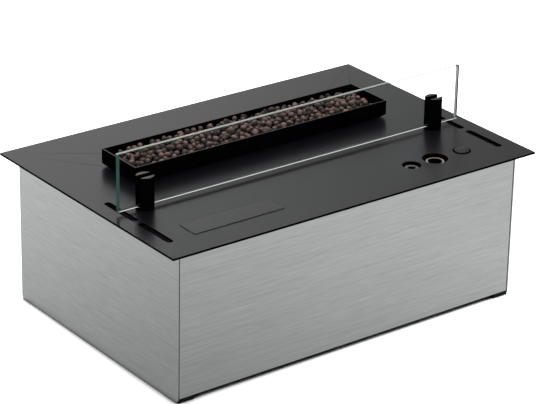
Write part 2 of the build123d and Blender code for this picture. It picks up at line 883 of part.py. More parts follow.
with BuildPart() as tank_lid:
    with BuildSketch(Plane.XY.offset(lid_bottom)):
        with Locations((tank_x, tank_y)):
            Rectangle(tank_length + 2 * tank_lip, tank_width + 2 * tank_lip)
        with Locations((level_x, level_y)):
            Circle(level_stem_radius, mode=Mode.SUBTRACT)
        with Locations((suction_x, pump_y)):
            Circle(pipe_radius, mode=Mode.SUBTRACT)
        with Locations((breather_x, control_y)):
            Circle(breather_spigot_radius, mode=Mode.SUBTRACT)
        with Locations(*tank_screw_places):
            Circle(small_hole_radius, mode=Mode.SUBTRACT)
    extrude(amount=tank_lid_thickness)
    with Locations((filler_x, control_y, lid_top)):
        Cylinder(filler_outer_radius, stub_height, align=STANDING)
    with Locations((filler_x, control_y, lid_bottom)):
        Cylinder(filler_barrel_radius, stub_height + tank_lid_thickness, align=STANDING, mode=Mode.SUBTRACT)
save(tank_lid, "tank_lid")

with BuildPart() as tank_screws:
    with Locations(*[(x, y, lid_top) for x, y in tank_screw_places]):
        Cylinder(small_head_radius, small_head_height, align=STANDING)
        Cylinder(small_screw_radius, lid_top - tank_top + 2 * tank_wall, align=HANGING)
save(tank_screws, "tank_screws")

with BuildPart() as breather_valve:
    with Locations((breather_x, control_y, lid_top)):
        Cylinder(breather_spigot_radius, tank_lid_thickness, align=HANGING)
        Cylinder(breather_radius, breather_body_height, align=STANDING)
        Cylinder(breather_top_radius, breather_height, align=STANDING)
    chamfer(breather_valve.edges().group_by(Axis.Z)[-1], breather_chamfer)
save(breather_valve, "breather_valve")

with BuildPart() as level_stem:
    stem_bottom = pan_top + tank_wall + level_floor_gap
    upper_stop_top = lid_bottom - level_top_gap
    with BuildSketch(Plane.XY.offset(lid_top)):
        with Locations((level_x, level_y)):
            RegularPolygon(level_head_radius, 6)
    extrude(amount=level_head_height)
    with Locations((level_x, level_y, stem_bottom)):
        Cylinder(level_stem_radius, lid_top - stem_bottom, align=STANDING)
        Cylinder(level_stop_radius, level_stop_height, align=STANDING)
    with Locations((level_x, level_y, upper_stop_top)):
        Cylinder(level_stop_radius, level_stop_height, align=HANGING)
save(level_stem, "level_stem")

with BuildPart() as level_float:
    float_bottom = stem_bottom + level_stop_height + float_rest_gap
    with BuildSketch(Plane.XY.offset(float_bottom)):
        with Locations((level_x, level_y)):
            Circle(float_radius)
            Circle(level_stem_radius + float_gap, mode=Mode.SUBTRACT)
    extrude(amount=float_height)
    fillet(level_float.edges().filter_by(GeomType.CIRCLE).sort_by(SortBy.RADIUS)[-2:], float_round)
save(level_float, "level_float")

# ---------------------------------------------------------------- filler

with BuildPart() as filler_cup:
    with Locations((filler_x, control_y, plate_under)):
        Cylinder(cup_flange_radius, flange_thickness, align=HANGING)
        Cylinder(filler_hole_radius + cup_wall, cup_depth, align=HANGING)
    with Locations((filler_x, control_y, cup_floor_top)):
        Cylinder(filler_hole_radius, cup_depth, align=STANDING, mode=Mode.SUBTRACT)
    with Locations((filler_x, control_y, cup_bottom)):
        Cylinder(filler_outer_radius, cup_wall, align=STANDING, mode=Mode.SUBTRACT)
save(filler_cup, "filler_cup")

with BuildPart() as filler_neck:
    neck_foot = (filler_x, control_y, neck_bottom)
    with Locations(neck_foot):
        Cylinder(filler_outer_radius, neck_top - neck_bottom, align=STANDING)
    chamfer(filler_neck.edges().group_by(Axis.Z)[-1], neck_chamfer)
    with Locations((filler_x, control_y, cup_bottom)):
        Cylinder(filler_hole_radius, filler_shoulder, align=HANGING)
    with Locations(neck_foot):
        Cylinder(filler_barrel_radius, filler_skirt, align=STANDING, mode=Mode.SUBTRACT)
    with Locations((filler_x, control_y, guide_top)):
        Cylinder(filler_barrel_radius, filler_barrel_depth, align=STANDING, mode=Mode.SUBTRACT)
    with Locations((filler_x, control_y, seat_bottom)):
        Cylinder(filler_seat_radius, filler_seat_thickness, align=STANDING, mode=Mode.SUBTRACT)
    with Locations((filler_x, control_y, seat_top)):
        Cylinder(filler_bore_radius, filler_bore_depth, align=STANDING, mode=Mode.SUBTRACT)
    with BuildSketch(Plane.XY.offset(guide_bottom)):
        with Locations((filler_x, control_y)):
            Circle(valve_stem_radius + valve_stem_gap)
            flow_ring = (filler_barrel_radius + valve_stem_radius) / 2
            with PolarLocations(flow_ring + valve_stem_gap, 3):
                Circle(valve_stem_radius)
    extrude(amount=filler_guide_thickness, mode=Mode.SUBTRACT)
save(filler_neck, "filler_neck")

with BuildPart() as filler_valve:
    valve_top = seat_bottom - valve_seat_gap
    with Locations((filler_x, control_y, valve_top)):
        Cylinder(valve_disc_radius, valve_disc_thickness, align=HANGING)
        Cylinder(valve_stem_radius, valve_tip_length, align=STANDING)
        Cylinder(valve_stem_radius, valve_top - guide_bottom, align=HANGING)
save(filler_valve, "filler_valve")


def coil_spring(x, y, bottom, top, coil_radius, wire_radius, turns):
    """Helical spring of round wire between two levels."""
    rise = top - bottom - 2 * wire_radius
    with BuildPart() as spring:
        with BuildLine() as path:
            Helix(rise / turns, rise, coil_radius, center=(x, y, bottom + wire_radius))
        with BuildSketch(Plane(origin=path.line @ 0, z_dir=path.line % 0)):
            Circle(wire_radius)
        sweep(path=path.line, is_frenet=True)
    print("spring gap", round(rise / turns - 2 * wire_radius, 2), "mm")
    return spring


valve_spring = coil_spring(
    filler_x,
    control_y,
    guide_top + spring_clear,
    valve_top - valve_disc_thickness - spring_clear,
    valve_spring_radius,
    valve_spring_wire,
    valve_spring_turns,
)
save(valve_spring, "valve_spring")

with BuildPart() as filler_hose:
    with BuildSketch(Plane.XY.offset(hose_bottom)):
        with Locations((filler_x, control_y)):
            Circle(hose_radius)
            Circle(filler_outer_radius, mode=Mode.SUBTRACT)
    extrude(amount=hose_top - hose_bottom)
save(filler_hose, "filler_hose")

with BuildPart() as hose_clips:
    clip_levels = (hose_bottom + clip_end_margin, hose_top - clip_end_margin - clip_height)
    for level in clip_levels:
        with BuildSketch(Plane.XY.offset(level)):
            with Locations((filler_x, control_y)):
                Circle(hose_radius + clip_thickness)
            with Locations((filler_x + hose_radius + clip_ear_length / 2, control_y)):
                Rectangle(clip_ear_length, clip_height)
            with Locations((filler_x, control_y)):
                Circle(hose_radius, mode=Mode.SUBTRACT)
        extrude(amount=clip_height)
save(hose_clips, "hose_clips")

# ---------------------------------------------------------------- charging socket

socket_top = plate_top - socket_recess
with BuildPart() as socket_shell:
    with Locations((socket_x, control_y, plate_under)):
        Cylinder(socket_flange_radius, flange_thickness, align=HANGING)
        Cylinder(socket_hole_radius + socket_wall, socket_depth, align=HANGING)
    with Locations((socket_x, control_y, plate_under - socket_depth + socket_wall)):
        Cylinder(socket_hole_radius, socket_depth, align=STANDING, mode=Mode.SUBTRACT)
    with Locations((socket_x, control_y, plate_under - socket_depth)):
        Cylinder(lead_radius, socket_wall, align=STANDING, mode=Mode.SUBTRACT)
save(socket_shell, "socket_shell")

with BuildPart() as socket_insert:
    with BuildSketch(Plane.XY.offset(plate_under - socket_depth + socket_wall)):
        with Locations((socket_x, control_y)):
            Circle(socket_ring_radius)
    extrude(amount=socket_top - (plate_under - socket_depth + socket_wall))
    chamfer(socket_insert.edges().group_by(Axis.Z)[-1], socket_chamfer)
    with Locations((socket_x, control_y, socket_top)):
        Cylinder(socket_bore_radius, socket_bore_depth, align=HANGING, mode=Mode.SUBTRACT)
    with BuildSketch(Plane.XY.offset(socket_top)):
        with Locations((socket_x + socket_bore_radius, control_y)):
            Rectangle(2 * socket_key_depth, socket_key_width)
    extrude(amount=-socket_bore_depth, mode=Mode.SUBTRACT)
save(socket_insert, "socket_insert")

# ---------------------------------------------------------------- power button

housing_bottom = plate_under - button_depth
housing_floor = housing_bottom + button_floor
cap_radius = button_ring_radius - button_ring_width - button_cap_gap
cap_top = plate_top + button_cap_lift
cap_bottom = cap_top - button_cap_thickness
switch_top = housing_floor + switch_height

with BuildPart() as button_housing:
    with Locations((button_x, control_y, plate_top + button_ring_lift)):
        Cylinder(button_ring_radius, plate_top + button_ring_lift - housing_bottom, align=HANGING)
    chamfer(button_housing.edges().group_by(Axis.Z)[-1], button_ring_chamfer)
    with Locations((button_x, control_y, plate_under)):
        Cylinder(button_flange_radius, flange_thickness, align=HANGING)
    with Locations((button_x, control_y, housing_floor)):
        Cylinder(
            button_ring_radius - button_ring_width, 2 * button_depth, align=STANDING, mode=Mode.SUBTRACT
        )
    with Locations((button_x, control_y, housing_bottom)):
        Cylinder(lead_radius, button_floor, align=STANDING, mode=Mode.SUBTRACT)
save(button_housing, "button_housing")

with BuildPart() as button_cap:
    with Locations((button_x, control_y, cap_top)):
        Cylinder(cap_radius, button_cap_thickness, align=HANGING)
    fillet(button_cap.edges().group_by(Axis.Z)[-1], button_cap_round)
    with Locations((button_x, control_y, cap_bottom)):
        Cylinder(
            button_stem_radius, cap_bottom - switch_top - button_travel - button_cap_gap, align=HANGING
        )
save(button_cap, "button_cap")

with BuildPart() as button_switch:
    with BuildSketch(Plane.XY.offset(housing_floor)):
        with Locations((button_x, control_y)):
            Rectangle(switch_size, switch_size)
    extrude(amount=switch_height)
    chamfer(button_switch.faces().sort_by(Axis.Z)[-1].edges(), switch_chamfer)
save(button_switch, "button_switch")

button_spring = coil_spring(
    button_x,
    control_y,
    switch_top + spring_clear,
    cap_bottom - spring_clear,
    button_spring_radius,
    button_spring_wire,
    button_spring_turns,
)
save(button_spring, "button_spring")

# ---------------------------------------------------------------- pump and pipes

with BuildPart() as pump_motor:
    with Locations((pump_x, pump_y, pan_top)):
        Cylinder(motor_radius, motor_height, align=STANDING)
    with Locations((pump_x, pump_y, motor_top)):
        Cylinder(shaft_radius + shaft_gap, shaft_socket, align=HANGING, mode=Mode.SUBTRACT)
save(pump_motor, "pump_motor")

with BuildPart() as pump_body:
    with Locations((pump_x, pump_y, motor_top)):
        Cylinder(pump_radius, pump_height, align=STANDING)
        Cylinder(shaft_radius + shaft_gap, pump_floor, align=STANDING, mode=Mode.SUBTRACT)
    with Locations((pump_x, pump_y, chamber_floor)):
        Cylinder(pump_chamber_radius, pump_height, align=STANDING, mode=Mode.SUBTRACT)
save(pump_body, "pump_body")

with BuildPart() as pump_cover:
    port_places = ((pump_x - port_offset, pump_y), (pump_x + port_offset, pump_y))
    with Locations((pump_x, pump_y, pump_top)):
        Cylinder(pump_radius, pump_cover_thickness, align=STANDING)
    with Locations(*[(x, y, cover_top) for x, y in port_places]):
        Cylinder(pipe_bore, port_height, align=STANDING)
    with Locations(*[(x, y, pump_top) for x, y in port_places]):
        Cylinder(port_bore, 2 * port_height, align=STANDING, mode=Mode.SUBTRACT)
save(pump_cover, "pump_cover")

with BuildPart() as pump_rotor:
    rotor_bottom = chamber_floor + rotor_gap
    rotor_height = pump_top - rotor_gap - rotor_bottom
    vane_length = pump_chamber_radius - rotor_gap
    with Locations((pump_x, pump_y, rotor_bottom)):
        Cylinder(rotor_hub_radius, rotor_height, align=STANDING)
        with PolarLocations(vane_length / 2, rotor_vanes):
            Box(vane_length, rotor_vane_width, rotor_height, align=STANDING)
        Cylinder(pump_chamber_radius - rotor_gap, rotor_height, align=STANDING, mode=Mode.INTERSECT)
        shaft_reach = rotor_bottom - motor_top + shaft_socket - rotor_gap
        Cylinder(shaft_radius, shaft_reach, align=HANGING)
save(pump_rotor, "pump_rotor")


def swept_tube(points, outer_radius, bore_radius=0.0, largest_bend=1000.0):
    """Round tube along straight runs, joined by arcs as large as the runs and the room allow."""
    runs = [Vector(*b) - Vector(*a) for a, b in zip(points, points[1:])]
    bends = []
    for before, after in zip(runs, runs[1:]):
        half_turn = radians(before.get_angle(after)) / 2
        run_limit = bend_share * min(before.length, after.length) / tan(half_turn)
        bends.append(min(run_limit, largest_bend))
    with BuildPart() as tube:
        with BuildLine() as route:
            FilletPolyline(*points, radius=bends)
        with BuildSketch(Plane(origin=points[0], z_dir=runs[0])):
            Circle(outer_radius)
            if bore_radius:
                Circle(bore_radius, mode=Mode.SUBTRACT)
        sweep(path=route.line)
    section = pi * (outer_radius**2 - bore_radius**2)
    route_length = sum(edge.length for edge in route.edges())
    print(
        "tube bends", [round(bend, 1) for bend in bends],
        "volume ratio", round(tube.part.volume / (section * route_length), 4),
    )
    return tube


suction_z = lid_top + suction_rise
suction_pipe = swept_tube(
    [
        (suction_x, pump_y, pan_top + tank_wall + level_floor_gap),
        (suction_x, pump_y, suction_z),
        (pump_x + port_offset, pump_y, suction_z),
        (pump_x + port_offset, pump_y, cover_top),
    ],
    pipe_radius,
    pipe_bore,
    suction_rise - pipe_straight,
)
save(suction_pipe, "suction_pipe")

feed_pipe = swept_tube(
    [
        (feed_x, pump_y, cover_top),
        (feed_x, pump_y, cover_top + feed_rise),
        (feed_x, tray_y, cover_top + feed_rise),
        (feed_x, tray_y, trough_bottom),
    ],
    pipe_radius,
    pipe_bore,
)
save(feed_pipe, "feed_pipe")

# ---------------------------------------------------------------- cooling fan

fan_back_x = -duct_inner_x
fan_front_x = fan_back_x + fan_depth
fan_plane = Plane.YZ.offset(fan_back_x)

with BuildPart() as fan_frame:
    with BuildSketch(fan_plane):
        with Locations((fan_y, fan_z)):
            RectangleRounded(fan_size, fan_size, fan_strut_width)
            Circle(fan_bore_radius, mode=Mode.SUBTRACT)
    extrude(amount=fan_depth)
    with BuildSketch(Plane.YZ.offset(fan_front_x - fan_strut_thickness)):
        with Locations((fan_y, fan_z)):
            Circle(fan_hub_radius)
            with PolarLocations((fan_hub_radius + fan_bore_radius) / 2, 4, start_angle=45):
                Rectangle(fan_bore_radius - fan_hub_radius + fan_strut_width, fan_strut_width)
            Circle(fan_shaft_radius + shaft_gap, mode=Mode.SUBTRACT)
    extrude(amount=fan_strut_thickness)
save(fan_frame, "fan_frame")

with BuildPart() as fan_rotor:
    rotor_depth = fan_depth - fan_strut_thickness - 2 * fan_hub_gap
    rotor_tip = fan_bore_radius - fan_tip_gap
    with BuildSketch(Plane.YZ.offset(fan_back_x + fan_hub_gap)):
        with Locations((fan_y, fan_z)):
            Circle(fan_hub_radius)
    extrude(amount=rotor_depth)
    blade_middle = (fan_blade_root + rotor_tip) / 2
    with Locations(Plane.YZ.offset(fan_back_x + fan_hub_gap + rotor_depth / 2)):
        with Locations((fan_y, fan_z)):
            with PolarLocations(blade_middle, fan_blades):
                Box(
                    rotor_tip - fan_blade_root,
                    fan_blade_thickness,
                    rotor_depth / cos(radians(fan_blade_pitch)) - fan_blade_thickness,
                    rotation=(fan_blade_pitch, 0, 0),
                )
            Cylinder(rotor_tip, rotor_depth, mode=Mode.INTERSECT)
    with BuildSketch(Plane.YZ.offset(fan_back_x + fan_hub_gap + rotor_depth)):
        with Locations((fan_y, fan_z)):
            Circle(fan_shaft_radius)
    extrude(amount=fan_shaft_length)
save(fan_rotor, "fan_rotor")

# ---------------------------------------------------------------- control box and battery

with BuildPart() as control_box:
    with BuildSketch(Plane.XY.offset(pan_top)):
        with Locations((box_x, box_y)):
            Rectangle(box_length, box_width)
    extrude(amount=box_height)
    offset(amount=-box_wall, openings=control_box.faces().sort_by(Axis.Z)[-1])
    with BuildSketch(Plane.XZ.offset(-(box_back_y - box_wall))):
        with Locations((box_x, plug_z)):
            Rectangle(box_window_length, box_window_height)
    extrude(amount=-box_wall, mode=Mode.SUBTRACT)
    with BuildSketch(Plane.XY.offset(pan_top + box_wall)):
        with Locations((box_x, box_y)):
            boss_spread_x = box_length - 2 * box_wall - 4 * boss_radius
            boss_spread_y = box_width - 2 * box_wall - 4 * boss_radius
            with GridLocations(boss_spread_x, boss_spread_y, 2, 2):
                Circle(boss_radius)
    extrude(amount=board_height)
save(control_box, "control_box")

with BuildPart() as control_lid:
    with BuildSketch(Plane.XY.offset(pan_top + box_height)):
        with Locations((box_x, box_y)):
            Rectangle(box_length, box_width)
    extrude(amount=lid_thickness)
    fillet(control_lid.edges().filter_by(Axis.Z), lid_thickness)
save(control_lid, "control_lid")

board_length = box_length - 2 * box_wall - 2 * board_gap
board_width = box_width - 2 * box_wall - 2 * board_gap
with BuildPart() as control_board:
    with BuildSketch(Plane.XY.offset(board_z)):
        with Locations((box_x, box_y)):
            Rectangle(board_length, board_width)
    extrude(amount=board_thickness)
save(control_board, "control_board")

plug_places = [
    (box_x + (index - (plug_count - 1) / 2) * plug_pitch, board_back_y - plug_size / 2)
    for index in range(plug_count)
]
plug_face_y = board_back_y
with BuildPart() as board_parts:
    board_top = board_z + board_thickness
    with BuildSketch(Plane.XY.offset(board_top)):
        with Locations(*plug_places):
            Rectangle(plug_size, plug_size)
    extrude(amount=plug_size)
    with BuildSketch(Plane.XY.offset(board_top)):
        with Locations((box_x, box_y)):
            Rectangle(chip_size, chip_size)
        with Locations((box_x - board_part_offset, box_y)):
            Rectangle(relay_width, relay_length)
    extrude(amount=board_part_height)
    with Locations(
        (box_x + board_part_offset, box_y, board_top),
        (box_x + board_part_offset, box_y - capacitor_pitch, board_top),
    ):
        Cylinder(capacitor_radius, capacitor_height, align=STANDING)
save(board_parts, "board_parts")

with BuildPart() as battery_pack:
    with BuildSketch(Plane.XY.offset(pan_top)):
        with Locations((box_x, battery_front_y + battery_width / 2)):
            Rectangle(battery_length, battery_width)
    extrude(amount=battery_height)
    fillet(battery_pack.edges().filter_by(Axis.X), battery_radius)
save(battery_pack, "battery_pack")

# ---------------------------------------------------------------- leads inside the casing

lead_start_y = box_back_y + battery_gap / 2
plug_x = [x for x, y in plug_places]
probe_tail_x = trough_end_x - probe_tail
lead_low_z = pan_top + 4 * lead_radius
socket_exit_z = plate_under - socket_depth
level_top_z = lid_top + level_head_height
shelf_z = lid_top + 2 * level_head_height
shield_lane_x = -shield_x - lead_end_lane
fan_lead_z = fan_z - fan_size / 2 + lead_lane


def leaving_plug(index):
    """First two points of a lead: out of its plug, into the space behind the control box."""
    return [(plug_x[index], plug_face_y, plug_z), (plug_x[index], lead_start_y, plug_z)]


lead_routes = {
    "fan": leaving_plug(0)
    + [
        (plug_x[0], lead_start_y, fan_lead_z),
        (fan_front_x, lead_start_y, fan_lead_z),
    ],
    "igniter": leaving_plug(1)
    + [
        (plug_x[1], lead_start_y, shield_bottom - lead_long_drop - lead_end_lane),
        (shield_lane_x, igniter_y, shield_bottom - lead_short_drop),
        (shield_lane_x, igniter_y, probe_z),
        (probe_tail_x, igniter_y, probe_z),
    ],
    "flame sensor": leaving_plug(2)
    + [
        (plug_x[2], lead_start_y + lead_lane, shield_bottom - lead_long_drop - lead_far_run),
        (shield_lane_x, sensor_y, shield_bottom - lead_long_drop),
        (shield_lane_x, sensor_y, probe_z),
        (probe_tail_x, sensor_y, probe_z),
    ],
    "pump": leaving_plug(3)
    + [
        (plug_x[3], lead_start_y + lead_lane / 2, lead_low_z),
        (plug_x[6] + lead_step_run, lead_start_y + lead_lane, lead_low_z),
        (pump_x - motor_radius - lead_far_run, pump_y, lead_low_z),
        (pump_x - motor_radius, pump_y, lead_low_z),
    ],
    "level sender": leaving_plug(4)
    + [
        (plug_x[4], lead_start_y, shelf_z - 2 * lead_lane),
        (plug_x[6] + lead_step_run, lead_start_y, shelf_z),
        (level_x - lead_far_run, level_y, shelf_z),
        (level_x, level_y, shelf_z + lead_lane),
        (level_x, level_y, level_top_z),
    ],
    "socket": leaving_plug(5)
    + [
        (plug_x[5] + lead_lane, lead_start_y - lead_near_run, shelf_z + 2 * lead_lane),
        (socket_x - lead_entry_run, control_y + lead_far_run, shelf_z + 3 * lead_lane),
        (socket_x, control_y, shelf_z + lead_near_run),
        (socket_x, control_y, socket_exit_z),
    ],
    "button": leaving_plug(6)
    + [
        (plug_x[6] + lead_near_run, lead_start_y - lead_long_drop, shelf_z - lead_near_run),
        (socket_x - lead_near_run, control_y + lead_far_run, shelf_z),
        (button_x, control_y + lead_long_drop, shelf_z),
        (button_x, control_y, shelf_z + lead_near_run),
        (button_x, control_y, housing_bottom),
    ],
}

with BuildPart() as wiring_leads:
    for route in lead_routes.values():
        add(swept_tube(route, lead_radius).part)
save(wiring_leads, "wiring_leads")
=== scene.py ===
"""Finishes for the bioethanol fireplace: materials, glass, stones, stage and camera around its frame."""

import math
import random

import bmesh
import bpy
from bpy.props import FloatProperty, FloatVectorProperty, IntProperty, PointerProperty
from mathutils import Euler, Matrix, Vector, noise


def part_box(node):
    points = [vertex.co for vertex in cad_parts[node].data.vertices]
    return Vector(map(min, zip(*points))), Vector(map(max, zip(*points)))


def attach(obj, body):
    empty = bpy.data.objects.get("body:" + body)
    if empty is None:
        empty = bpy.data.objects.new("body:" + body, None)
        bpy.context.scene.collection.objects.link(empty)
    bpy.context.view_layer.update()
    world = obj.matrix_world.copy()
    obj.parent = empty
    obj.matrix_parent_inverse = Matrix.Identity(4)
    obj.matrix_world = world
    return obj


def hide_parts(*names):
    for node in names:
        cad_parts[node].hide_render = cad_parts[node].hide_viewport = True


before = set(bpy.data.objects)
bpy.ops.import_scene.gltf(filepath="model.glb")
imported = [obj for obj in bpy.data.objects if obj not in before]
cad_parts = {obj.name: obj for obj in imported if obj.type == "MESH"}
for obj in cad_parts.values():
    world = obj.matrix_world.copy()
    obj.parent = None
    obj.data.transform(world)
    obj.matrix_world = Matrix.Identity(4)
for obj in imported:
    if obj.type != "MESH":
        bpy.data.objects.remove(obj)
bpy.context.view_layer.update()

bl_info = {
    "name": "Bioethanol Fireplace Finishes",
    "version": (1, 0, 0),
    "blender": (4, 5, 0),
    "location": "View3D > Sidebar > Fireplace",
    "description": "Gives the fireplace its coats, steel, glass, stones and stage",
    "category": "Object",
}

MM = 0.001
STEEL_SHEETS = ("front_panel", "back_panel", "left_side_panel", "right_side_panel")

# Points nearer than this are joined; edges sharper than these angles are broken, or kept sharp.
WELD_REACH = 0.01 * MM
BREAK_ANGLE = math.radians(40)
CREASE_ANGLE = math.radians(35)

# Edges of the screen, painted in two tones, a painted highlight and painted shade: where each changes tone,
# from the middle of the glass, and how softly.
RIM_CUT = -1.1 * MM
FOOT_CUT = -0.4 * MM
FAR_END_CUT = -0.3 * MM
CUT_BLUR = 0.4 * MM
CORNER_STEPS = 4

# How softly the painted shade inside the filler neck gives way to its bright rim.
BRASS_BLUR = 0.2 * MM

# Stones: room for the tray's wall, lean to small sizes, share of two radii at which stones meet, tries of each
# to roll lower, and share of a radius that is kept below the heap's top.
TRAY_WALL = 1.6 * MM
STONE_LEAN = 1.3
STONE_MEETING = 0.93
STONE_ROLLS = 8
STONE_COVER = 0.6

# One stone, as shares of its radius: its size, its least width when squeezed, and its lumps.
STONE_FILL = 0.97
STONE_SQUEEZE = 0.75
BROAD_LUMP = 0.2
FINE_LUMP = 0.14

# Heap of stones, in millimetres: its rise over the tray in the middle, and its fall to the sides and ends.
HEAP_RISE = 0.4
HEAP_SIDE_FALL = 2.6
HEAP_END_FALL = 8.0

# The floor lies this far below the feet, and darkens, a painted contact shadow, where there is less open air
# round it.
FLOOR_DROP = 0.2 * MM
CONTACT_REACH = 12 * MM
CONTACT_DARK = 0.42
CONTACT_LIGHT = 0.8


# ------------ colours and sizes


def shade(red, green, blue):
    """A screen colour, 0 to 255, as the linear colour that shaders take."""
    linear = []
    for part in (red, green, blue):
        part /= 255
        linear.append(part / 12.92 if part <= 0.04045 else ((part + 0.055) / 1.055) ** 2.4)
    return (*linear, 1.0)


def colour_property(name, description, default):
    """A colour that a user may change."""
    return FloatVectorProperty(
        name=name, description=description, default=default, subtype="COLOR", size=4, min=0.0, max=1.0
    )


def length_property(name, description, default):
    """A length in metres that a user may change."""
    return FloatProperty(
        name=name, description=description, default=default, subtype="DISTANCE", unit="LENGTH", min=0.0
    )


def angle_property(name, description, default):
    """An angle that a user may change."""
    return FloatProperty(
        name=name, description=description, default=default, subtype="ANGLE", unit="ROTATION"
    )


def strength_property(name, description, default):
    """A strength of light that a user may change."""
    return FloatProperty(name=name, description=description, default=default, min=0.0)


class FireplaceColours(bpy.types.PropertyGroup):
    """Colours of the finishes that show."""

    plate: colour_property("Plate", "Powder coat of the top plate", shade(12, 10, 16))
    plate_grain: colour_property("Plate grain", "Lighter grain in the powder coat", shade(16, 14, 20))
    steel: colour_property("Steel", "Casing sheets, in the hollows", shade(106, 108, 107))
    steel_bright: colour_property("Steel highlights", "Casing sheets, on the ridges", shade(134, 137, 136))
    # Black also stands as painted shade on the faces of the satin black parts that do not look up, and down
    # the socket bore.
    black: colour_property("Black parts", "Posts and burner tray", shade(3, 3, 3))
    glass: colour_property("Glass", "Body of the screen", (0.975, 1.0, 0.99, 1.0))
    glass_edge: colour_property("Glass end", "Ground left end of the screen", shade(34, 60, 54))
    # Painted highlight and painted shade on the back and front halves of the screen's rim.
    glass_rim_highlight: colour_property("Glass rim", "Light half of the ground edges", shade(190, 198, 188))
    glass_shade: colour_property("Glass rim shade", "Dark half of the ground edges", shade(30, 46, 41))
    brass: colour_property("Brass", "Filler neck", shade(235, 215, 196))
    stone_dark: colour_property("Dark stones", "Darkest lava stones", shade(18, 12, 11))
    stone_light: colour_property("Light stones", "Lightest lava stones", shade(60, 42, 38))
    # Painted light on the faces of the stones that look up.
    stone_top_light: colour_property("Stone top light", "Painted light on the tops of the lava stones", shade(150, 118, 106))


class FireplaceSizes(bpy.types.PropertyGroup):
    """Sizes of what is added to the frame."""

    edge_break: length_property("Edge break", "Width of the broken edges of sheet parts", 0.25 * MM)
    glass_corner: length_property("Glass corner", "Radius of the corners of the screen", 0.7 * MM)
    glass_bevel: length_property("Glass bevel", "Width of the ground bevel of the screen", 0.5 * MM)
    brass_rim: length_property("Brass rim", "Radius where the bright rim of the filler neck begins", 8.5 * MM)
    stone_smallest: length_property("Smallest stone", "Least radius of a lava stone", 3.3 * MM)
    stone_largest: length_property("Largest stone", "Greatest radius of a lava stone", 5.3 * MM)
    stone_tries: IntProperty(
        name="Stone tries", description="How many stones are dropped into the tray", default=4200, min=1
    )
    stone_seed: IntProperty(name="Stone seed", description="Changes how the stones fall", default=11)


class FireplaceStage(bpy.types.PropertyGroup):
    """Floor, light and camera."""

    floor_radius: length_property("Floor radius", "Reach of the pale floor", 9.0)
    sky_strength: strength_property("Sky", "Strength of the even white light", 1.26)
    flag_strength: strength_property("Flag", "Light left where the flag stands", 0.2)
    flag_heading: angle_property("Flag heading", "Direction, clockwise from the back", math.radians(70.5))
    flag_height: angle_property("Flag height", "Angle of the flag above the horizon", math.radians(22))
    flag_reach: angle_property("Flag reach", "Half the angle that the flag covers", math.radians(30))
    floor_glow: strength_property("Floor glow", "Light from the floor", 1.68)
    floor_dim: strength_property("Dim floor glow", "Light from the floor by the near corner", 0.4)
    dim_radius: length_property("Dim radius", "Reach of the dimmer floor", 0.68)
    dim_place: FloatVectorProperty(
        name="Dim place", description="Middle of the dimmer floor", default=(-0.38, -0.18), size=2,
        unit="LENGTH",
    )
    lens: FloatProperty(name="Lens", description="Focal length in millimetres", default=169.31, min=1.0)
    camera_place: FloatVectorProperty(
        name="Camera", description="Where the camera stands", default=(-1.5872864, -2.0860039, 1.2819219),
        subtype="TRANSLATION", unit="LENGTH",
    )
    camera_turn: FloatVectorProperty(
        name="Camera turn", description="Heading, tilt below the horizon and roll of the camera",
        default=(math.radians(-37.26829), math.radians(23.9289), math.radians(1.08107)),
        subtype="EULER", unit="ROTATION",
    )


# ------------ shader effects used by several materials


def new_effect(name, inputs, outputs):
    """An empty node group with named sockets, and its two end nodes."""
    group = bpy.data.node_groups.new(name, "ShaderNodeTree")
    for label, kind, default in inputs:
        group.interface.new_socket(label, in_out="INPUT", socket_type=kind).default_value = default
    for label, kind in outputs:
        group.interface.new_socket(label, in_out="OUTPUT", socket_type=kind)
    return group, group.nodes.new("NodeGroupInput"), group.nodes.new("NodeGroupOutput")


def object_place(tree):
    """Socket with the place on the piece, in metres."""
    return tree.nodes.new("ShaderNodeTexCoord").outputs["Object"]


def feed(tree, value, socket):
    """Gives an input its value: another socket is linked to it, anything else is set on it."""
    if isinstance(value, bpy.types.NodeSocket):
        tree.links.new(value, socket)
    else:
        socket.default_value = value


def calculate(tree, operation, first, second=0.0):
    """Result socket of one sum, where each term is a socket or a number."""
    made = tree.nodes.new("ShaderNodeMath")
    made.operation = operation
    feed(tree, first, made.inputs[0])
    feed(tree, second, made.inputs[1])
    return made.outputs[0]


def combine(tree, operation, first, second=(0.0, 0.0, 0.0)):
    """Result socket of a sum of vectors, where each is a socket or three numbers."""
    made = tree.nodes.new("ShaderNodeVectorMath")
    made.operation = operation
    feed(tree, first, made.inputs[0])
    feed(tree, second, made.inputs[1])
    one_number = operation in ("DOT_PRODUCT", "LENGTH", "DISTANCE")
    return made.outputs["Value" if one_number else "Vector"]


def along_axis(tree, vector, axis):
    """Part of a vector along one axis."""
    made = tree.nodes.new("ShaderNodeSeparateXYZ")
    tree.links.new(vector, made.inputs[0])
    return made.outputs[axis]


def facing(tree, label="Normal"):
    """Socket with the way that the surface faces."""
    return tree.nodes.new("ShaderNodeNewGeometry").outputs[label]


def clouds(tree, place, scale, detail=3.0, roughness=0.55):
    """Noise value at a place; scale is a socket or a number of cells to the metre."""
    made = tree.nodes.new("ShaderNodeTexNoise")
    made.inputs["Detail"].default_value = detail
    made.inputs["Roughness"].default_value = roughness
    tree.links.new(place, made.inputs["Vector"])
    feed(tree, scale, made.inputs["Scale"])
    return made.outputs["Fac"]


def spread(tree, value, low, high, new_low=0.0, new_high=1.0):
    """Value between low and high, stretched to between new_low and new_high."""
    made = tree.nodes.new("ShaderNodeMapRange")
    tree.links.new(value, made.inputs["Value"])
    for label, number in (("From Min", low), ("From Max", high), ("To Min", new_low), ("To Max", new_high)):
        feed(tree, number, made.inputs[label])
    return made.outputs["Result"]


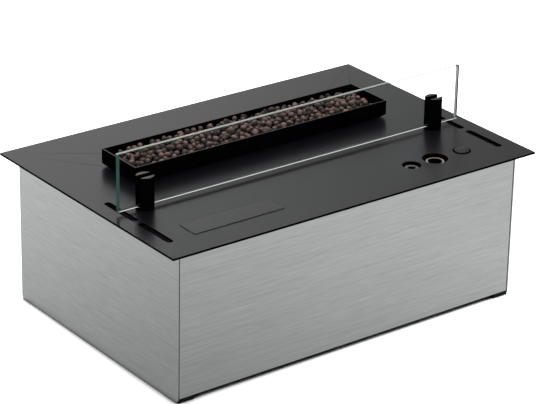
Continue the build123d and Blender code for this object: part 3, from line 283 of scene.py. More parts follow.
def powder_grain():
    """Orange-peel skin of a powder coat or a moulded plastic."""
    group, start, end = new_effect(
        "Powder grain",
        [("Grain Size", "NodeSocketFloat", 0.0009)],
        [("Height", "NodeSocketFloat"), ("Tone", "NodeSocketFloat")],
    )
    place = object_place(group)
    cells = calculate(group, "DIVIDE", 1.0, start.outputs["Grain Size"])
    fine = clouds(group, place, cells, detail=2.0)
    group.links.new(fine, end.inputs["Height"])
    group.links.new(spread(group, fine, 0.3, 0.7), end.inputs["Tone"])
    return group


def brushed_lines():
    """Fine parallel lines of brushed or rolled metal."""
    group, start, end = new_effect(
        "Brushed lines",
        [("Cells", "NodeSocketVector", (5.0, 900.0, 900.0)), ("Broad Share", "NodeSocketFloat", 0.35)],
        [("Height", "NodeSocketFloat"), ("Tone", "NodeSocketFloat")],
    )
    place = combine(group, "MULTIPLY", object_place(group), start.outputs["Cells"])
    fine = clouds(group, place, 1.0, roughness=0.65)
    broad = clouds(group, combine(group, "MULTIPLY", place, (0.3, 0.4, 0.4)), 1.0)
    fine_share = calculate(group, "SUBTRACT", 1.0, start.outputs["Broad Share"])
    fine_part = calculate(group, "MULTIPLY", fine, fine_share)
    broad_part = calculate(group, "MULTIPLY", broad, start.outputs["Broad Share"])
    group.links.new(fine, end.inputs["Height"])
    tone = spread(group, calculate(group, "ADD", fine_part, broad_part), 0.32, 0.68)
    group.links.new(tone, end.inputs["Tone"])
    return group


def cloudy_patches():
    """Large soft patches, for stains, heat marks and uneven coats."""
    group, start, end = new_effect(
        "Cloudy patches",
        [("Patch Size", "NodeSocketFloat", 0.05), ("Cut", "NodeSocketFloat", 0.45)],
        [("Mask", "NodeSocketFloat")],
    )
    cells = calculate(group, "DIVIDE", 1.0, start.outputs["Patch Size"])
    value = clouds(group, object_place(group), cells, detail=5.0)
    top = calculate(group, "ADD", start.outputs["Cut"], 0.25)
    group.links.new(spread(group, value, start.outputs["Cut"], top), end.inputs["Mask"])
    return group


def settled_dust():
    """Thin dust on the faces that look up."""
    group, start, end = new_effect(
        "Settled dust",
        [("Amount", "NodeSocketFloat", 0.1), ("Speck Size", "NodeSocketFloat", 0.002)],
        [("Mask", "NodeSocketFloat")],
    )
    upward = spread(group, along_axis(group, facing(group), "Z"), 0.4, 0.95)
    cells = calculate(group, "DIVIDE", 1.0, start.outputs["Speck Size"])
    specks = spread(group, clouds(group, object_place(group), cells, detail=6.0), 0.5, 0.75)
    settled = calculate(group, "MULTIPLY", upward, specks)
    group.links.new(calculate(group, "MULTIPLY", settled, start.outputs["Amount"]), end.inputs["Mask"])
    return group


def upward_faces():
    """Mask of the faces that look up; faces outside it get painted shade in the satin black coats, the brass
    and the grey insert.
    """
    group, _, end = new_effect("Upward faces", [], [("Mask", "NodeSocketFloat")])
    upward = along_axis(group, facing(group, "True Normal"), "Z")
    group.links.new(spread(group, upward, 0.85, 0.97), end.inputs["Mask"])
    return group


def turned_rings():
    """Fine rings that a lathe leaves round an upright axis."""
    group, start, end = new_effect(
        "Turned rings",
        [("Centre", "NodeSocketVector", (0.0, 0.0, 0.0)), ("Pitch", "NodeSocketFloat", 0.0003)],
        [("Height", "NodeSocketFloat")],
    )
    offset = combine(group, "SUBTRACT", object_place(group), start.outputs["Centre"])
    reach = combine(group, "LENGTH", combine(group, "MULTIPLY", offset, (1.0, 1.0, 0.0)))
    along = calculate(group, "ADD", reach, along_axis(group, offset, "Z"))
    turn = calculate(group, "MULTIPLY", along, 2 * math.pi)
    wave = calculate(group, "SINE", calculate(group, "DIVIDE", turn, start.outputs["Pitch"]))
    group.links.new(wave, end.inputs["Height"])
    return group


EFFECTS = {
    "grain": powder_grain,
    "brush": brushed_lines,
    "patches": cloudy_patches,
    "dust": settled_dust,
    "upward": upward_faces,
    "rings": turned_rings,
}
built_effects = {}


def effect(tree, kind, **values):
    """Places a shared effect in a material with its own values, such as grain_size=0.001."""
    if kind not in built_effects:
        built_effects[kind] = EFFECTS[kind]()
    made = tree.nodes.new("ShaderNodeGroup")
    made.node_tree = built_effects[kind]
    for name, value in values.items():
        made.inputs[name.replace("_", " ").title()].default_value = value
    return made.outputs


# ------------ making a material


def new_material(name, roughness=0.5, metallic=0.0, **fixed):
    """A material with its shader, whose plain values are set on the shader's own sockets."""
    made = bpy.data.materials.new(name)
    made.use_nodes = True
    shader = made.node_tree.nodes["Principled BSDF"]
    shader.inputs["Roughness"].default_value = roughness
    shader.inputs["Metallic"].default_value = metallic
    for label, value in fixed.items():
        shader.inputs[label.replace("_", " ")].default_value = value
    return made, made.node_tree, shader


def blend_colours(tree, mask, first, second):
    """Colour socket that goes from first to second with the mask."""
    made = tree.nodes.new("ShaderNodeMix")
    made.data_type = "RGBA"
    tree.links.new(mask, made.inputs["Factor"])
    feed(tree, first, made.inputs[6])
    feed(tree, second, made.inputs[7])
    return made.outputs[2]


def raise_surface(tree, shader, height, depth):
    """Lets a height value shape the shader's normal; depth is in metres."""
    bump = tree.nodes.new("ShaderNodeBump")
    bump.inputs["Distance"].default_value = depth
    tree.links.new(height, bump.inputs["Height"])
    tree.links.new(bump.outputs["Normal"], shader.inputs["Normal"])


def grained(name, dark, light, roughness, grain_size, depth, metallic=0.0, dust=0.0, **fixed):
    """Coated or moulded finish: two tones, a grained skin, uneven gloss, and dust if asked for."""
    made, tree, shader = new_material(name, metallic=metallic, **fixed)
    grain = effect(tree, "grain", grain_size=grain_size)
    colour = blend_colours(tree, grain["Tone"], dark, light)
    if dust:
        colour = blend_colours(tree, effect(tree, "dust", amount=dust)["Mask"], colour, shade(150, 145, 138))
    tree.links.new(colour, shader.inputs["Base Color"])
    tree.links.new(spread(tree, grain["Tone"], 0.0, 1.0, *roughness), shader.inputs["Roughness"])
    raise_surface(tree, shader, grain["Height"], depth)
    return made


def brushed(name, dark, light, roughness, cells, depth, stain=None):
    """Bare metal with parallel lines, and stains if a stain colour is given."""
    made, tree, shader = new_material(name, metallic=1.0)
    lines = effect(tree, "brush", cells=cells)
    colour = blend_colours(tree, lines["Tone"], dark, light)
    if stain:
        colour = blend_colours(tree, effect(tree, "patches", patch_size=0.03)["Mask"], colour, stain)
    tree.links.new(colour, shader.inputs["Base Color"])
    tree.links.new(spread(tree, lines["Tone"], 0.0, 1.0, *roughness), shader.inputs["Roughness"])
    raise_surface(tree, shader, lines["Height"], depth)
    return made


# ------------ the materials


def satin_black(name, colours, gloss, grain_size, depth, top=None, top_grain=None):
    """Black coat with a smooth satin skin on the faces that look up; the sides and edges get painted shade:
    dull, deep black, without the coat's sheen.
    """
    made, tree, shader = new_material(
        name, roughness=0.6, Specular_IOR_Level=0.0, Coat_Roughness=gloss, Coat_IOR=1.405
    )
    grain = effect(tree, "grain", grain_size=grain_size)
    upward = effect(tree, "upward")["Mask"]
    skin = blend_colours(tree, grain["Tone"], top or colours.plate, top_grain or colours.plate_grain)
    # Painted shade: faces that do not look up take the black colour, and only faces that look up get the
    # coat's sheen.
    tree.links.new(blend_colours(tree, upward, colours.black, skin), shader.inputs["Base Color"])
    tree.links.new(spread(tree, upward, 0.0, 1.0), shader.inputs["Coat Weight"])
    raise_surface(tree, shader, grain["Height"], depth)
    return made


def plate_coat(colours):
    """Satin black powder coat of the top plate."""
    return satin_black("Plate coat", colours, 0.3, 0.0009, 0.000004)


def badge_coat(colours):
    """The same coat on the bare badge plate, a little smoother."""
    return satin_black("Badge coat", colours, 0.25, 0.0007, 0.000003)


def casing_steel(colours, name, cells):
    """Brushed stainless casing sheet."""
    return brushed(name, colours.steel, colours.steel_bright, (0.3, 0.4), cells, 0.000008)


def post_black(colours):
    """Smooth black finish of the glass posts."""
    return satin_black("Post black", colours, 0.26, 0.0007, 0.000003)


def tray_black(colours):
    """Heat-proof black of the burner tray."""
    return satin_black("Tray black", colours, 0.34, 0.0012, 0.00001, colours.black, colours.plate)


def pan_steel():
    """Rolled galvanised sheet of the floor pan."""
    return brushed(
        "Pan steel", shade(128, 130, 130), shade(168, 170, 170), (0.36, 0.5), (260.0, 9.0, 260.0), 0.00002
    )


def foot_rubber():
    """Black rubber pads."""
    return grained(
        "Foot rubber", shade(3, 3, 3), shade(7, 7, 7),
        (0.7, 0.85), 0.0015, 0.00004, Specular_IOR_Level=0.1,
    )


def clear_glass(colours):
    """Clear body of the screen, with faint finger marks."""
    made, tree, shader = new_material("Screen glass", Transmission_Weight=1.0, IOR=1.03)
    shader.inputs["Base Color"].default_value = colours.glass
    marks = effect(tree, "patches", patch_size=0.04, cut=0.6)["Mask"]
    tree.links.new(spread(tree, marks, 0.0, 1.0, 0.0, 0.004), shader.inputs["Roughness"])
    return made


def ground_glass(name, colour, light):
    """Ground edge of the screen, where the glass shows its own tint."""
    made, tree, shader = new_material(name, Specular_IOR_Level=0.0)
    lines = effect(tree, "brush", cells=(40.0, 900.0, 40.0))
    tree.links.new(blend_colours(tree, lines["Tone"], colour, light), shader.inputs["Base Color"])
    tree.links.new(spread(tree, lines["Tone"], 0.0, 1.0, 0.12, 0.25), shader.inputs["Roughness"])
    raise_surface(tree, shader, lines["Height"], 0.00001)
    return made


def split_edge(name, front, back, cut_y, alpha=1.0):
    """Ground edge of the screen, painted one tone in front of cut_y and another behind it: a painted highlight
    on one half and painted shade on the other.
    """
    made, tree, shader = new_material(name, roughness=0.3, Specular_IOR_Level=0.1, Alpha=alpha)
    behind = spread(tree, along_axis(tree, object_place(tree), "Y"), cut_y - CUT_BLUR, cut_y + CUT_BLUR)
    lines = effect(tree, "brush", cells=(60.0, 1500.0, 60.0))
    mask = calculate(tree, "MULTIPLY", behind, spread(tree, lines["Tone"], 0.0, 1.0, 0.85, 1.0))
    tree.links.new(blend_colours(tree, mask, front, back), shader.inputs["Base Color"])
    raise_surface(tree, shader, lines["Height"], 0.00001)
    return made


def lava_stone(colours):
    """Porous lava; each stone has its own tone, and painted light makes the faces that look up paler."""
    made, tree, shader = new_material("Lava stone", roughness=0.8)
    tone = tree.nodes.new("ShaderNodeAttribute")
    tone.attribute_name = "stone_tone"
    place = object_place(tree)
    blotches = clouds(tree, place, 420.0, detail=4.0)
    mixed = calculate(tree, "ADD", calculate(tree, "MULTIPLY", blotches, 0.7), tone.outputs["Fac"])
    body = blend_colours(tree, spread(tree, mixed, 0.3, 1.25), colours.stone_dark, colours.stone_light)
    pores = tree.nodes.new("ShaderNodeTexVoronoi")
    pores.inputs["Scale"].default_value = 1100.0
    tree.links.new(place, pores.inputs["Vector"])
    pit = spread(tree, pores.outputs["Distance"], 0.12, 0.42)
    # Painted light: faces that look up blend towards the pale top colour.
    upward = spread(tree, along_axis(tree, facing(tree), "Z"), 0.35, 1.0)
    lit_tops = calculate(tree, "MULTIPLY", upward, spread(tree, mixed, 0.4, 1.3, 0.05, 0.9))
    body = blend_colours(tree, lit_tops, body, colours.stone_top_light)
    tree.links.new(blend_colours(tree, pit, shade(10, 8, 8), body), shader.inputs["Base Color"])
    tree.links.new(spread(tree, blotches, 0.3, 0.7, 0.62, 0.9), shader.inputs["Roughness"])
    raise_surface(tree, shader, pit, 0.0005)
    return made


def burner_steel():
    """Stainless trough and grate, straw and blue where they run hot."""
    return brushed(
        "Burner steel", shade(92, 84, 78), shade(150, 142, 132), (0.28, 0.45), (8.0, 500.0, 500.0), 0.00002,
        stain=shade(86, 70, 84),
    )


def ceramic_fibre():
    """White fibre of the wick and the liner."""
    return grained("Ceramic fibre", shade(196, 192, 182), shade(226, 224, 216), (0.85, 0.98), 0.0012, 0.0006)


def shield_metal():
    """Bright aluminised sheet under the burner."""
    return brushed(
        "Shield metal", shade(160, 162, 164), shade(204, 206, 208),
        (0.24, 0.4), (6.0, 300.0, 300.0), 0.00002,
    )


def brass(colours, centre, rim_radius):
    """Turned brass of the filler neck: bright on its rim with patches of tarnish, and dark with painted shade
    inside the neck and on its sides.
    """
    made, tree, shader = new_material("Brass", metallic=1.0)
    rings = effect(tree, "rings", centre=centre, pitch=0.0004)
    upward = effect(tree, "upward")["Mask"]
    flat_place = combine(tree, "MULTIPLY", object_place(tree), (1.0, 1.0, 0.0))
    reach = combine(tree, "DISTANCE", flat_place, (centre.x, centre.y, 0.0))
    outside = spread(tree, reach, rim_radius - BRASS_BLUR, rim_radius + BRASS_BLUR)
    upward = calculate(tree, "MULTIPLY", upward, outside)
    tarnish = effect(tree, "patches", patch_size=0.006)["Mask"]
    rim = blend_colours(tree, spread(tree, tarnish, 0.0, 1.0, 0.0, 0.25), colours.brass, shade(176, 140, 106))
    # Painted shade: everything but the upward rim outside rim_radius is dark brown.
    tree.links.new(blend_colours(tree, upward, shade(30, 18, 12), rim), shader.inputs["Base Color"])
    tree.links.new(spread(tree, tarnish, 0.0, 1.0, 0.34, 0.46), shader.inputs["Roughness"])
    raise_surface(tree, shader, rings["Height"], 0.000006)
    return made


def dark_brass():
    """Tarnished brass of the valve."""
    return grained(
        "Dark brass", shade(40, 26, 16), shade(70, 48, 30), (0.4, 0.6), 0.001, 0.000008, metallic=1.0
    )


def black_plastic():
    """Moulded black plastic of the cups and housings."""
    return grained(
        "Black plastic", shade(2, 2, 2), shade(5, 5, 5),
        (0.5, 0.62), 0.0008, 0.00001, Specular_IOR_Level=0.0,
    )


def grey_plastic(colours):
    """Grey insulating insert of the charging socket, with painted shade down its bore: black and dull."""
    made, tree, shader = new_material("Grey plastic", Specular_IOR_Level=0.2)
    grain = effect(tree, "grain", grain_size=0.0008)
    upward = effect(tree, "upward")["Mask"]
    grey = shade(104, 106, 109)
    face = blend_colours(tree, grain["Tone"], grey, tuple(0.88 * part for part in grey[:3]) + (1.0,))
    # Painted shade: faces that do not look up, down the bore, are black.
    tree.links.new(blend_colours(tree, upward, colours.black, face), shader.inputs["Base Color"])
    tree.links.new(spread(tree, upward, 0.0, 1.0, 0.8, 0.4), shader.inputs["Roughness"])
    raise_surface(tree, shader, grain["Height"], 0.00001)
    return made


def button_metal(colours):
    """Button face in the coat of the plate, with painted shade round its rounded edge."""
    return satin_black("Button metal", colours, 0.22, 0.0007, 0.000003)


def spring_wire():
    """Drawn spring wire."""
    return brushed(
        "Spring wire", shade(120, 122, 126), shade(190, 192, 196),
        (0.2, 0.32), (900.0, 900.0, 300.0), 0.000008,
    )


def gasket_board():
    """Pressed graphite gasket."""
    return grained("Gasket", shade(36, 37, 39), shade(58, 60, 62), (0.55, 0.75), 0.0008, 0.00006)


def tank_steel():
    """Matt stainless of the fuel tank."""
    return brushed(
        "Tank steel", shade(138, 141, 142), shade(180, 182, 182),
        (0.3, 0.46), (380.0, 380.0, 10.0), 0.00002,
    )


def hose_rubber():
    """Fuel-proof black hose."""
    return grained(
        "Hose rubber", shade(16, 16, 17), shade(30, 30, 31), (0.55, 0.72), 0.0009, 0.00004, dust=0.15
    )


def float_foam():
    """Closed-cell foam of the float."""
    return grained("Float foam", shade(168, 132, 44), shade(206, 170, 78), (0.7, 0.9), 0.0007, 0.00016)


def pump_metal():
    """Cast and machined pump housing."""
    return grained(
        "Pump metal", shade(132, 134, 136), shade(170, 172, 174),
        (0.34, 0.5), 0.0007, 0.00003, metallic=1.0,
    )


def motor_can():
    """Drawn steel can of the pump motor."""
    return brushed(
        "Motor can", shade(104, 106, 108), shade(150, 152, 154),
        (0.28, 0.42), (300.0, 300.0, 8.0), 0.00001,
    )


def fan_plastic():
    """Glossy black of the fan."""
    return grained(
        "Fan plastic", shade(18, 18, 19), shade(28, 28, 30), (0.3, 0.42), 0.0009, 0.00001, dust=0.3
    )


def box_plastic():
    """Grey moulded control box."""
    return grained(
        "Box plastic", shade(58, 61, 64), shade(72, 75, 78), (0.42, 0.56), 0.0008, 0.00002, dust=0.1
    )


def circuit_board():
    """Green board with copper runs under the lacquer."""
    made, tree, shader = new_material("Circuit board", roughness=0.35, Coat_Weight=0.3)
    runs = tree.nodes.new("ShaderNodeTexBrick")
    runs.inputs["Scale"].default_value = 220.0
    runs.inputs["Mortar Size"].default_value = 0.06
    runs.inputs["Color1"].default_value = shade(16, 74, 46)
    runs.inputs["Color2"].default_value = shade(20, 84, 52)
    runs.inputs["Mortar"].default_value = shade(58, 118, 70)
    tree.links.new(object_place(tree), runs.inputs["Vector"])
    tree.links.new(runs.outputs["Color"], shader.inputs["Base Color"])
    raise_surface(tree, shader, runs.outputs["Fac"], 0.00003)
    return made


def board_plastic():
    """Plugs, relay and chip on the board."""
    return grained("Board parts", shade(20, 21, 22), shade(44, 46, 48), (0.35, 0.6), 0.0011, 0.00001)


def battery_wrap():
    """Blue shrink wrap of the battery."""
    return grained(
        "Battery wrap", shade(24, 56, 104), shade(34, 72, 126), (0.2, 0.4), 0.004, 0.0001, Coat_Weight=0.3
    )


def lead_cover():
    """Silicone cover of the leads."""
    return grained("Lead cover", shade(104, 30, 24), shade(138, 44, 34), (0.4, 0.6), 0.0012, 0.00002)


def zinc_plate():
    """Zinc-plated nuts, studs, clips and angles."""
    return grained(
        "Zinc plate", shade(150, 152, 148), shade(188, 188, 176),
        (0.26, 0.44), 0.0011, 0.00001, metallic=1.0,
    )


# ------------ helpers for pieces


def settings():
    """The three groups of values that a user may change."""
    scene = bpy.context.scene
    return scene.fireplace_colours, scene.fireplace_sizes, scene.fireplace_stage


def frame_piece(name):
    """A piece of the frame; a missing one stops the script."""
    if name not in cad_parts:
        raise RuntimeError(f"the frame has no piece named {name}")
    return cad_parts[name]


def dress(material, *names):
    """Puts one material on pieces of the frame."""
    for name in names:
        slots = frame_piece(name).data.materials
        slots.clear()
        slots.append(material)


def weld(piece):
    """Joins the points that lie in one place."""
    piece.modifiers.new("Weld", "WELD").merge_threshold = WELD_REACH


def break_edges(width, *names):
    """Breaks the sharp edges of sheet parts, so that they catch the light."""
    for name in names:
        piece = frame_piece(name)
        weld(piece)
        bevel = piece.modifiers.new("Edge break", "BEVEL")
        bevel.width = width
        bevel.segments = 2
        bevel.limit_method = "ANGLE"
        bevel.angle_limit = BREAK_ANGLE
        bevel.harden_normals = True


def add_piece(mesh, materials, smooth=True):
    """A new object, named after its mesh."""
    for material in materials:
        mesh.materials.append(material)
    mesh.polygons.foreach_set("use_smooth", [smooth] * len(mesh.polygons))
    piece = bpy.data.objects.new(mesh.name, mesh)
    bpy.context.scene.collection.objects.link(piece)
    return piece


def new_piece(name, mesh_maker, materials, smooth=True):
    """A new object from a function that fills a bmesh."""
    shape = bmesh.new()
    mesh_maker(shape)
    mesh = bpy.data.meshes.new(name)
    shape.to_mesh(mesh)
    shape.free()
    return add_piece(mesh, materials, smooth)


def crease_group():
    """Geometry node group that shades smooth, apart from the sharp edges."""
    name = "Smooth with creases"
    if name in bpy.data.node_groups:
        return bpy.data.node_groups[name]
    group = bpy.data.node_groups.new(name, "GeometryNodeTree")
    group.interface.new_socket("Geometry", in_out="INPUT", socket_type="NodeSocketGeometry")
    group.interface.new_socket("Geometry", in_out="OUTPUT", socket_type="NodeSocketGeometry")
    start, end = group.nodes.new("NodeGroupInput"), group.nodes.new("NodeGroupOutput")
    smooth = group.nodes.new("GeometryNodeSetShadeSmooth")
    smooth.domain = "FACE"
    creased = group.nodes.new("GeometryNodeSetShadeSmooth")
    creased.domain = "EDGE"
    creased.inputs["Shade Smooth"].default_value = False
    angle = group.nodes.new("GeometryNodeInputMeshEdgeAngle")
    sharp = group.nodes.new("FunctionNodeCompare")
    sharp.inputs["B"].default_value = CREASE_ANGLE
    group.links.new(start.outputs[0], smooth.inputs["Geometry"])
    group.links.new(smooth.outputs["Geometry"], creased.inputs["Geometry"])
    group.links.new(angle.outputs["Unsigned Angle"], sharp.inputs["A"])
    group.links.new(sharp.outputs["Result"], creased.inputs["Selection"])
    group.links.new(creased.outputs["Geometry"], end.inputs[0])
    return group


def smooth_curves(*names):
    """Smooth shading for round pieces of the frame, with their sharp edges kept."""
    for name in names:
        piece = frame_piece(name)
        weld(piece)
        piece.modifiers.new("Creases", "NODES").node_group = crease_group()


class PieceOperator:
    """What the piece operators share: one undo step, and a scene to work in."""

    bl_options = {"REGISTER", "UNDO"}

    @classmethod
    def poll(cls, context):
        return context.scene is not None


# ------------ operators, one for each piece or group


class FIREPLACE_OT_plate(PieceOperator, bpy.types.Operator):
    """Coat the top plate and the bare badge plate"""

    bl_idname = "fireplace.plate"
    bl_label = "Top Plate"

    def execute(self, context):
        colours, sizes, _ = settings()
        dress(plate_coat(colours), "top_plate")
        dress(badge_coat(colours), "badge_plate")
        break_edges(sizes.edge_break, "top_plate")
        return {"FINISHED"}


class FIREPLACE_OT_casing(PieceOperator, bpy.types.Operator):
    """Finish the casing sheets, the floor pan and the feet"""

    bl_idname = "fireplace.casing"
    bl_label = "Casing"

    def execute(self, context):
        colours, sizes, _ = settings()
        along_front = casing_steel(colours, "Casing steel along the front", (30.0, 2000.0, 2000.0))
        along_side = casing_steel(colours, "Casing steel along the side", (2000.0, 40.0, 2000.0))
        dress(along_front, "front_panel", "back_panel")
        dress(along_side, "left_side_panel", "right_side_panel")
        dress(pan_steel(), "base_pan")
        dress(foot_rubber(), "feet")
        break_edges(sizes.edge_break, *STEEL_SHEETS)
        return {"FINISHED"}


def glass_sheet(sizes):
    """Function that fills a bmesh with the screen: slots 0 faces, 1 end, 2 rim, 3 foot and 4 far end."""
    low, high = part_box("glass_panel")
    corner = sizes.glass_corner

    def fill(shape):
        middle = (low + high) / 2
        size = high - low
        outline = []
        for sx, sz, first in ((1, 1, 0), (-1, 1, 90), (-1, -1, 180), (1, -1, 270)):
            centre = Vector((middle.x + sx * (size.x / 2 - corner), 0, middle.z + sz * (size.z / 2 - corner)))
            for step in range(CORNER_STEPS + 1):
                angle = math.radians(first + step * 90 / CORNER_STEPS)
                outline.append(centre + corner * Vector((math.cos(angle), 0, math.sin(angle))))
        inner = []
        reach_x = (size.x / 2 - sizes.glass_bevel) / (size.x / 2)
        reach_z = (size.z / 2 - sizes.glass_bevel) / (size.z / 2)
        for point in outline:
            away = point - middle
            inner.append(Vector((middle.x + away.x * reach_x, 0, middle.z + away.z * reach_z)))
        rings = [
            (inner, low.y),
            (outline, low.y + sizes.glass_bevel),
            (outline, high.y - sizes.glass_bevel),
            (inner, high.y),
        ]
        loops = [[shape.verts.new((p.x, y, p.z)) for p in points] for points, y in rings]
        count = len(outline)
        front = shape.faces.new(loops[0])
        back = shape.faces.new(reversed(loops[-1]))
        front.material_index = back.material_index = 0
        for one, two in zip(loops, loops[1:]):
            for index in range(count):
                after = (index + 1) % count
                side = shape.faces.new((one[index], two[index], two[after], one[after]))
                place = side.calc_center_median() - middle
                if place.z < -size.z / 2 + corner:
                    side.material_index = 3
                elif place.x > size.x / 2 - corner:
                    side.material_index = 4
                elif place.z > size.z / 2 - corner:
                    side.material_index = 2
                else:
                    side.material_index = 1
        bmesh.ops.recalc_face_normals(shape, faces=shape.faces)

    return fill


class FIREPLACE_OT_glass(PieceOperator, bpy.types.Operator):
    """Make the glass screen with clear faces and ground edges that carry painted highlights and painted shade
    """

    bl_idname = "fireplace.glass"
    bl_label = "Glass Screen"

    def execute(self, context):
        colours, sizes, _ = settings()
        low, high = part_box("glass_panel")
        middle = (low.y + high.y) / 2
        dark, light = colours.glass_shade, colours.glass_rim_highlight
        materials = [
            clear_glass(colours),
            ground_glass("Ground glass end", colours.glass_edge, shade(44, 72, 65)),
            # Rim, foot and far end are split into a painted highlight and painted shade along the thickness of
            # the glass.
            split_edge("Glass rim painted light and shade", dark, light, middle + RIM_CUT, alpha=0.65),
            split_edge("Glass foot painted light and shade", shade(244, 248, 247), shade(16, 18, 17), middle + FOOT_CUT),
            split_edge("Glass far end painted light and shade", shade(40, 48, 45), shade(190, 196, 193), middle + FAR_END_CUT),
        ]
        screen = new_piece("glass_screen", glass_sheet(sizes), materials, smooth=False)
        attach(screen, "screen")
        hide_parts("glass_panel")
        return {"FINISHED"}


class FIREPLACE_OT_posts(PieceOperator, bpy.types.Operator):
    """Finish the slotted glass posts"""

    bl_idname = "fireplace.posts"
    bl_label = "Glass Posts"

    def execute(self, context):
        colours, _, _ = settings()
        dress(post_black(colours), "glass_post_left", "glass_post_right")
        smooth_curves("glass_post_left", "glass_post_right")
        return {"FINISHED"}


class FIREPLACE_OT_burner(PieceOperator, bpy.types.Operator):
    """Finish the tray, trough, grate, wick, probes and shield"""

    bl_idname = "fireplace.burner"
    bl_label = "Burner"

    def execute(self, context):
        colours, sizes, _ = settings()
        dress(tray_black(colours), "burner_tray")
        dress(burner_steel(), "burner_trough", "stone_grate", "igniter", "flame_sensor")
        dress(ceramic_fibre(), "ceramic_wick", "insulation_liner")
        dress(shield_metal(), "heat_shield")
        break_edges(sizes.edge_break, "burner_tray")
        return {"FINISHED"}


def settle_stones(sizes):
    """Drops stones into the tray one by one; returns the place and radius of each that stays."""
    chance = random.Random(sizes.stone_seed)
    tray_low, tray_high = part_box("burner_tray")
    _, grate_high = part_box("stone_grate")
    low_x, high_x = tray_low.x + TRAY_WALL, tray_high.x - TRAY_WALL
    low_y, high_y = tray_low.y + TRAY_WALL, tray_high.y - TRAY_WALL
    middle_x, middle_y = (low_x + high_x) / 2, (low_y + high_y) / 2
    cell = 2 * sizes.stone_largest
    grid = {}

    def cell_of(x, y):
        return int(x / cell // 1), int(y / cell // 1)

    def rest_height(x, y, radius):
        height = grate_high.z + radius
        column, row = cell_of(x, y)
        for near_x in (column - 1, column, column + 1):
            for near_y in (row - 1, row, row + 1):
                for px, py, pz, pr in grid.get((near_x, near_y), ()):
                    gap = (px - x) ** 2 + (py - y) ** 2
                    touch = (pr + radius) * STONE_MEETING
                    if gap < touch * touch:
                        height = max(height, pz + math.sqrt(touch * touch - gap))
        return height

    placed = []
    for _ in range(sizes.stone_tries):
        share = chance.random() ** STONE_LEAN
        radius = sizes.stone_smallest + (sizes.stone_largest - sizes.stone_smallest) * share
        x = chance.uniform(low_x + radius, high_x - radius)
        y = chance.uniform(low_y + radius, high_y - radius)
        best = (rest_height(x, y, radius), x, y)
        for _ in range(STONE_ROLLS):
            nx = min(max(best[1] + chance.uniform(-radius, radius), low_x + radius), high_x - radius)
            ny = min(max(best[2] + chance.uniform(-radius, radius), low_y + radius), high_y - radius)
            best = min(best, (rest_height(nx, ny, radius), nx, ny))
        height, x, y = best
        along = abs(x - middle_x) / (high_x - middle_x)
        across = abs(y - middle_y) / (high_y - middle_y)
        limit = tray_high.z + (HEAP_RISE - HEAP_SIDE_FALL * across**2 - HEAP_END_FALL * along**8) * MM
        if height + STONE_COVER * radius > limit:
            continue
        grid.setdefault(cell_of(x, y), []).append((x, y, height, radius))
        placed.append((x, y, height, radius))
    return placed


def rough_ball():
    """Points and faces of a ball of 80 triangles, radius 1."""
    ball = bmesh.new()
    bmesh.ops.create_icosphere(ball, subdivisions=2, radius=1.0)
    points = [vert.co.copy() for vert in ball.verts]
    faces = [tuple(vert.index for vert in face.verts) for face in ball.faces]
    ball.free()
    return points, faces


def pebbles(sizes):
    """Points, faces and point tones of all the stones: lumpy, squeezed and turned balls."""
    ball_points, ball_faces = rough_ball()
    chance = random.Random(sizes.stone_seed + 1)
    points, faces, tones = [], [], []
    for x, y, z, radius in settle_stones(sizes):
        turn = Euler([chance.uniform(0, 2 * math.pi) for _ in range(3)]).to_matrix()
        squeeze = Vector([chance.uniform(STONE_SQUEEZE, 1.0) for _ in range(3)])
        seed = Vector([chance.uniform(-50, 50) for _ in range(3)])
        first = len(points)
        for point in ball_points:
            broad, fine = noise.noise(point * 1.3 + seed), noise.noise(point * 3.1 + seed)
            lump = 1 + BROAD_LUMP * broad + FINE_LUMP * fine
            points.append(Vector((x, y, z)) + turn @ (point * squeeze * lump * radius * STONE_FILL))
        faces.extend(tuple(first + index for index in face) for face in ball_faces)
        tones.extend([chance.random()] * len(ball_points))
    return points, faces, tones


class FIREPLACE_OT_stones(PieceOperator, bpy.types.Operator):
    """Fill the tray with lava stones"""

    bl_idname = "fireplace.stones"
    bl_label = "Lava Stones"

    def execute(self, context):
        colours, sizes, _ = settings()
        points, faces, tones = pebbles(sizes)
        mesh = bpy.data.meshes.new("lava_pebbles")
        mesh.from_pydata(points, [], faces)
        mesh.attributes.new("stone_tone", "FLOAT", "POINT").data.foreach_set("value", tones)
        stones = add_piece(mesh, [lava_stone(colours)])
        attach(stones, "casing")
        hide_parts("lava_stones")
        return {"FINISHED"}


class FIREPLACE_OT_filler(PieceOperator, bpy.types.Operator):
    """Finish the fuel filler, its valve and hose"""

    bl_idname = "fireplace.filler"
    bl_label = "Fuel Filler"

    def execute(self, context):
        colours, sizes, _ = settings()
        low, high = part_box("filler_neck")
        dress(black_plastic(), "filler_cup")
        dress(brass(colours, (low + high) / 2, sizes.brass_rim), "filler_neck")
        dress(dark_brass(), "filler_valve")
        dress(hose_rubber(), "filler_hose")
        smooth_curves("filler_cup", "filler_neck", "filler_valve", "filler_hose")
        return {"FINISHED"}


class FIREPLACE_OT_controls(PieceOperator, bpy.types.Operator):
    """Finish the socket, the push button and the springs"""

    bl_idname = "fireplace.controls"
    bl_label = "Socket and Button"

    def execute(self, context):
        colours, _, _ = settings()
        dress(black_plastic(), "socket_shell", "button_housing", "button_switch")
        dress(grey_plastic(colours), "socket_insert")
        dress(button_metal(colours), "button_cap")
        dress(spring_wire(), "button_spring", "valve_spring")
        smooth_curves("socket_shell", "socket_insert", "button_housing", "button_cap")
        smooth_curves("button_spring", "valve_spring")
        return {"FINISHED"}


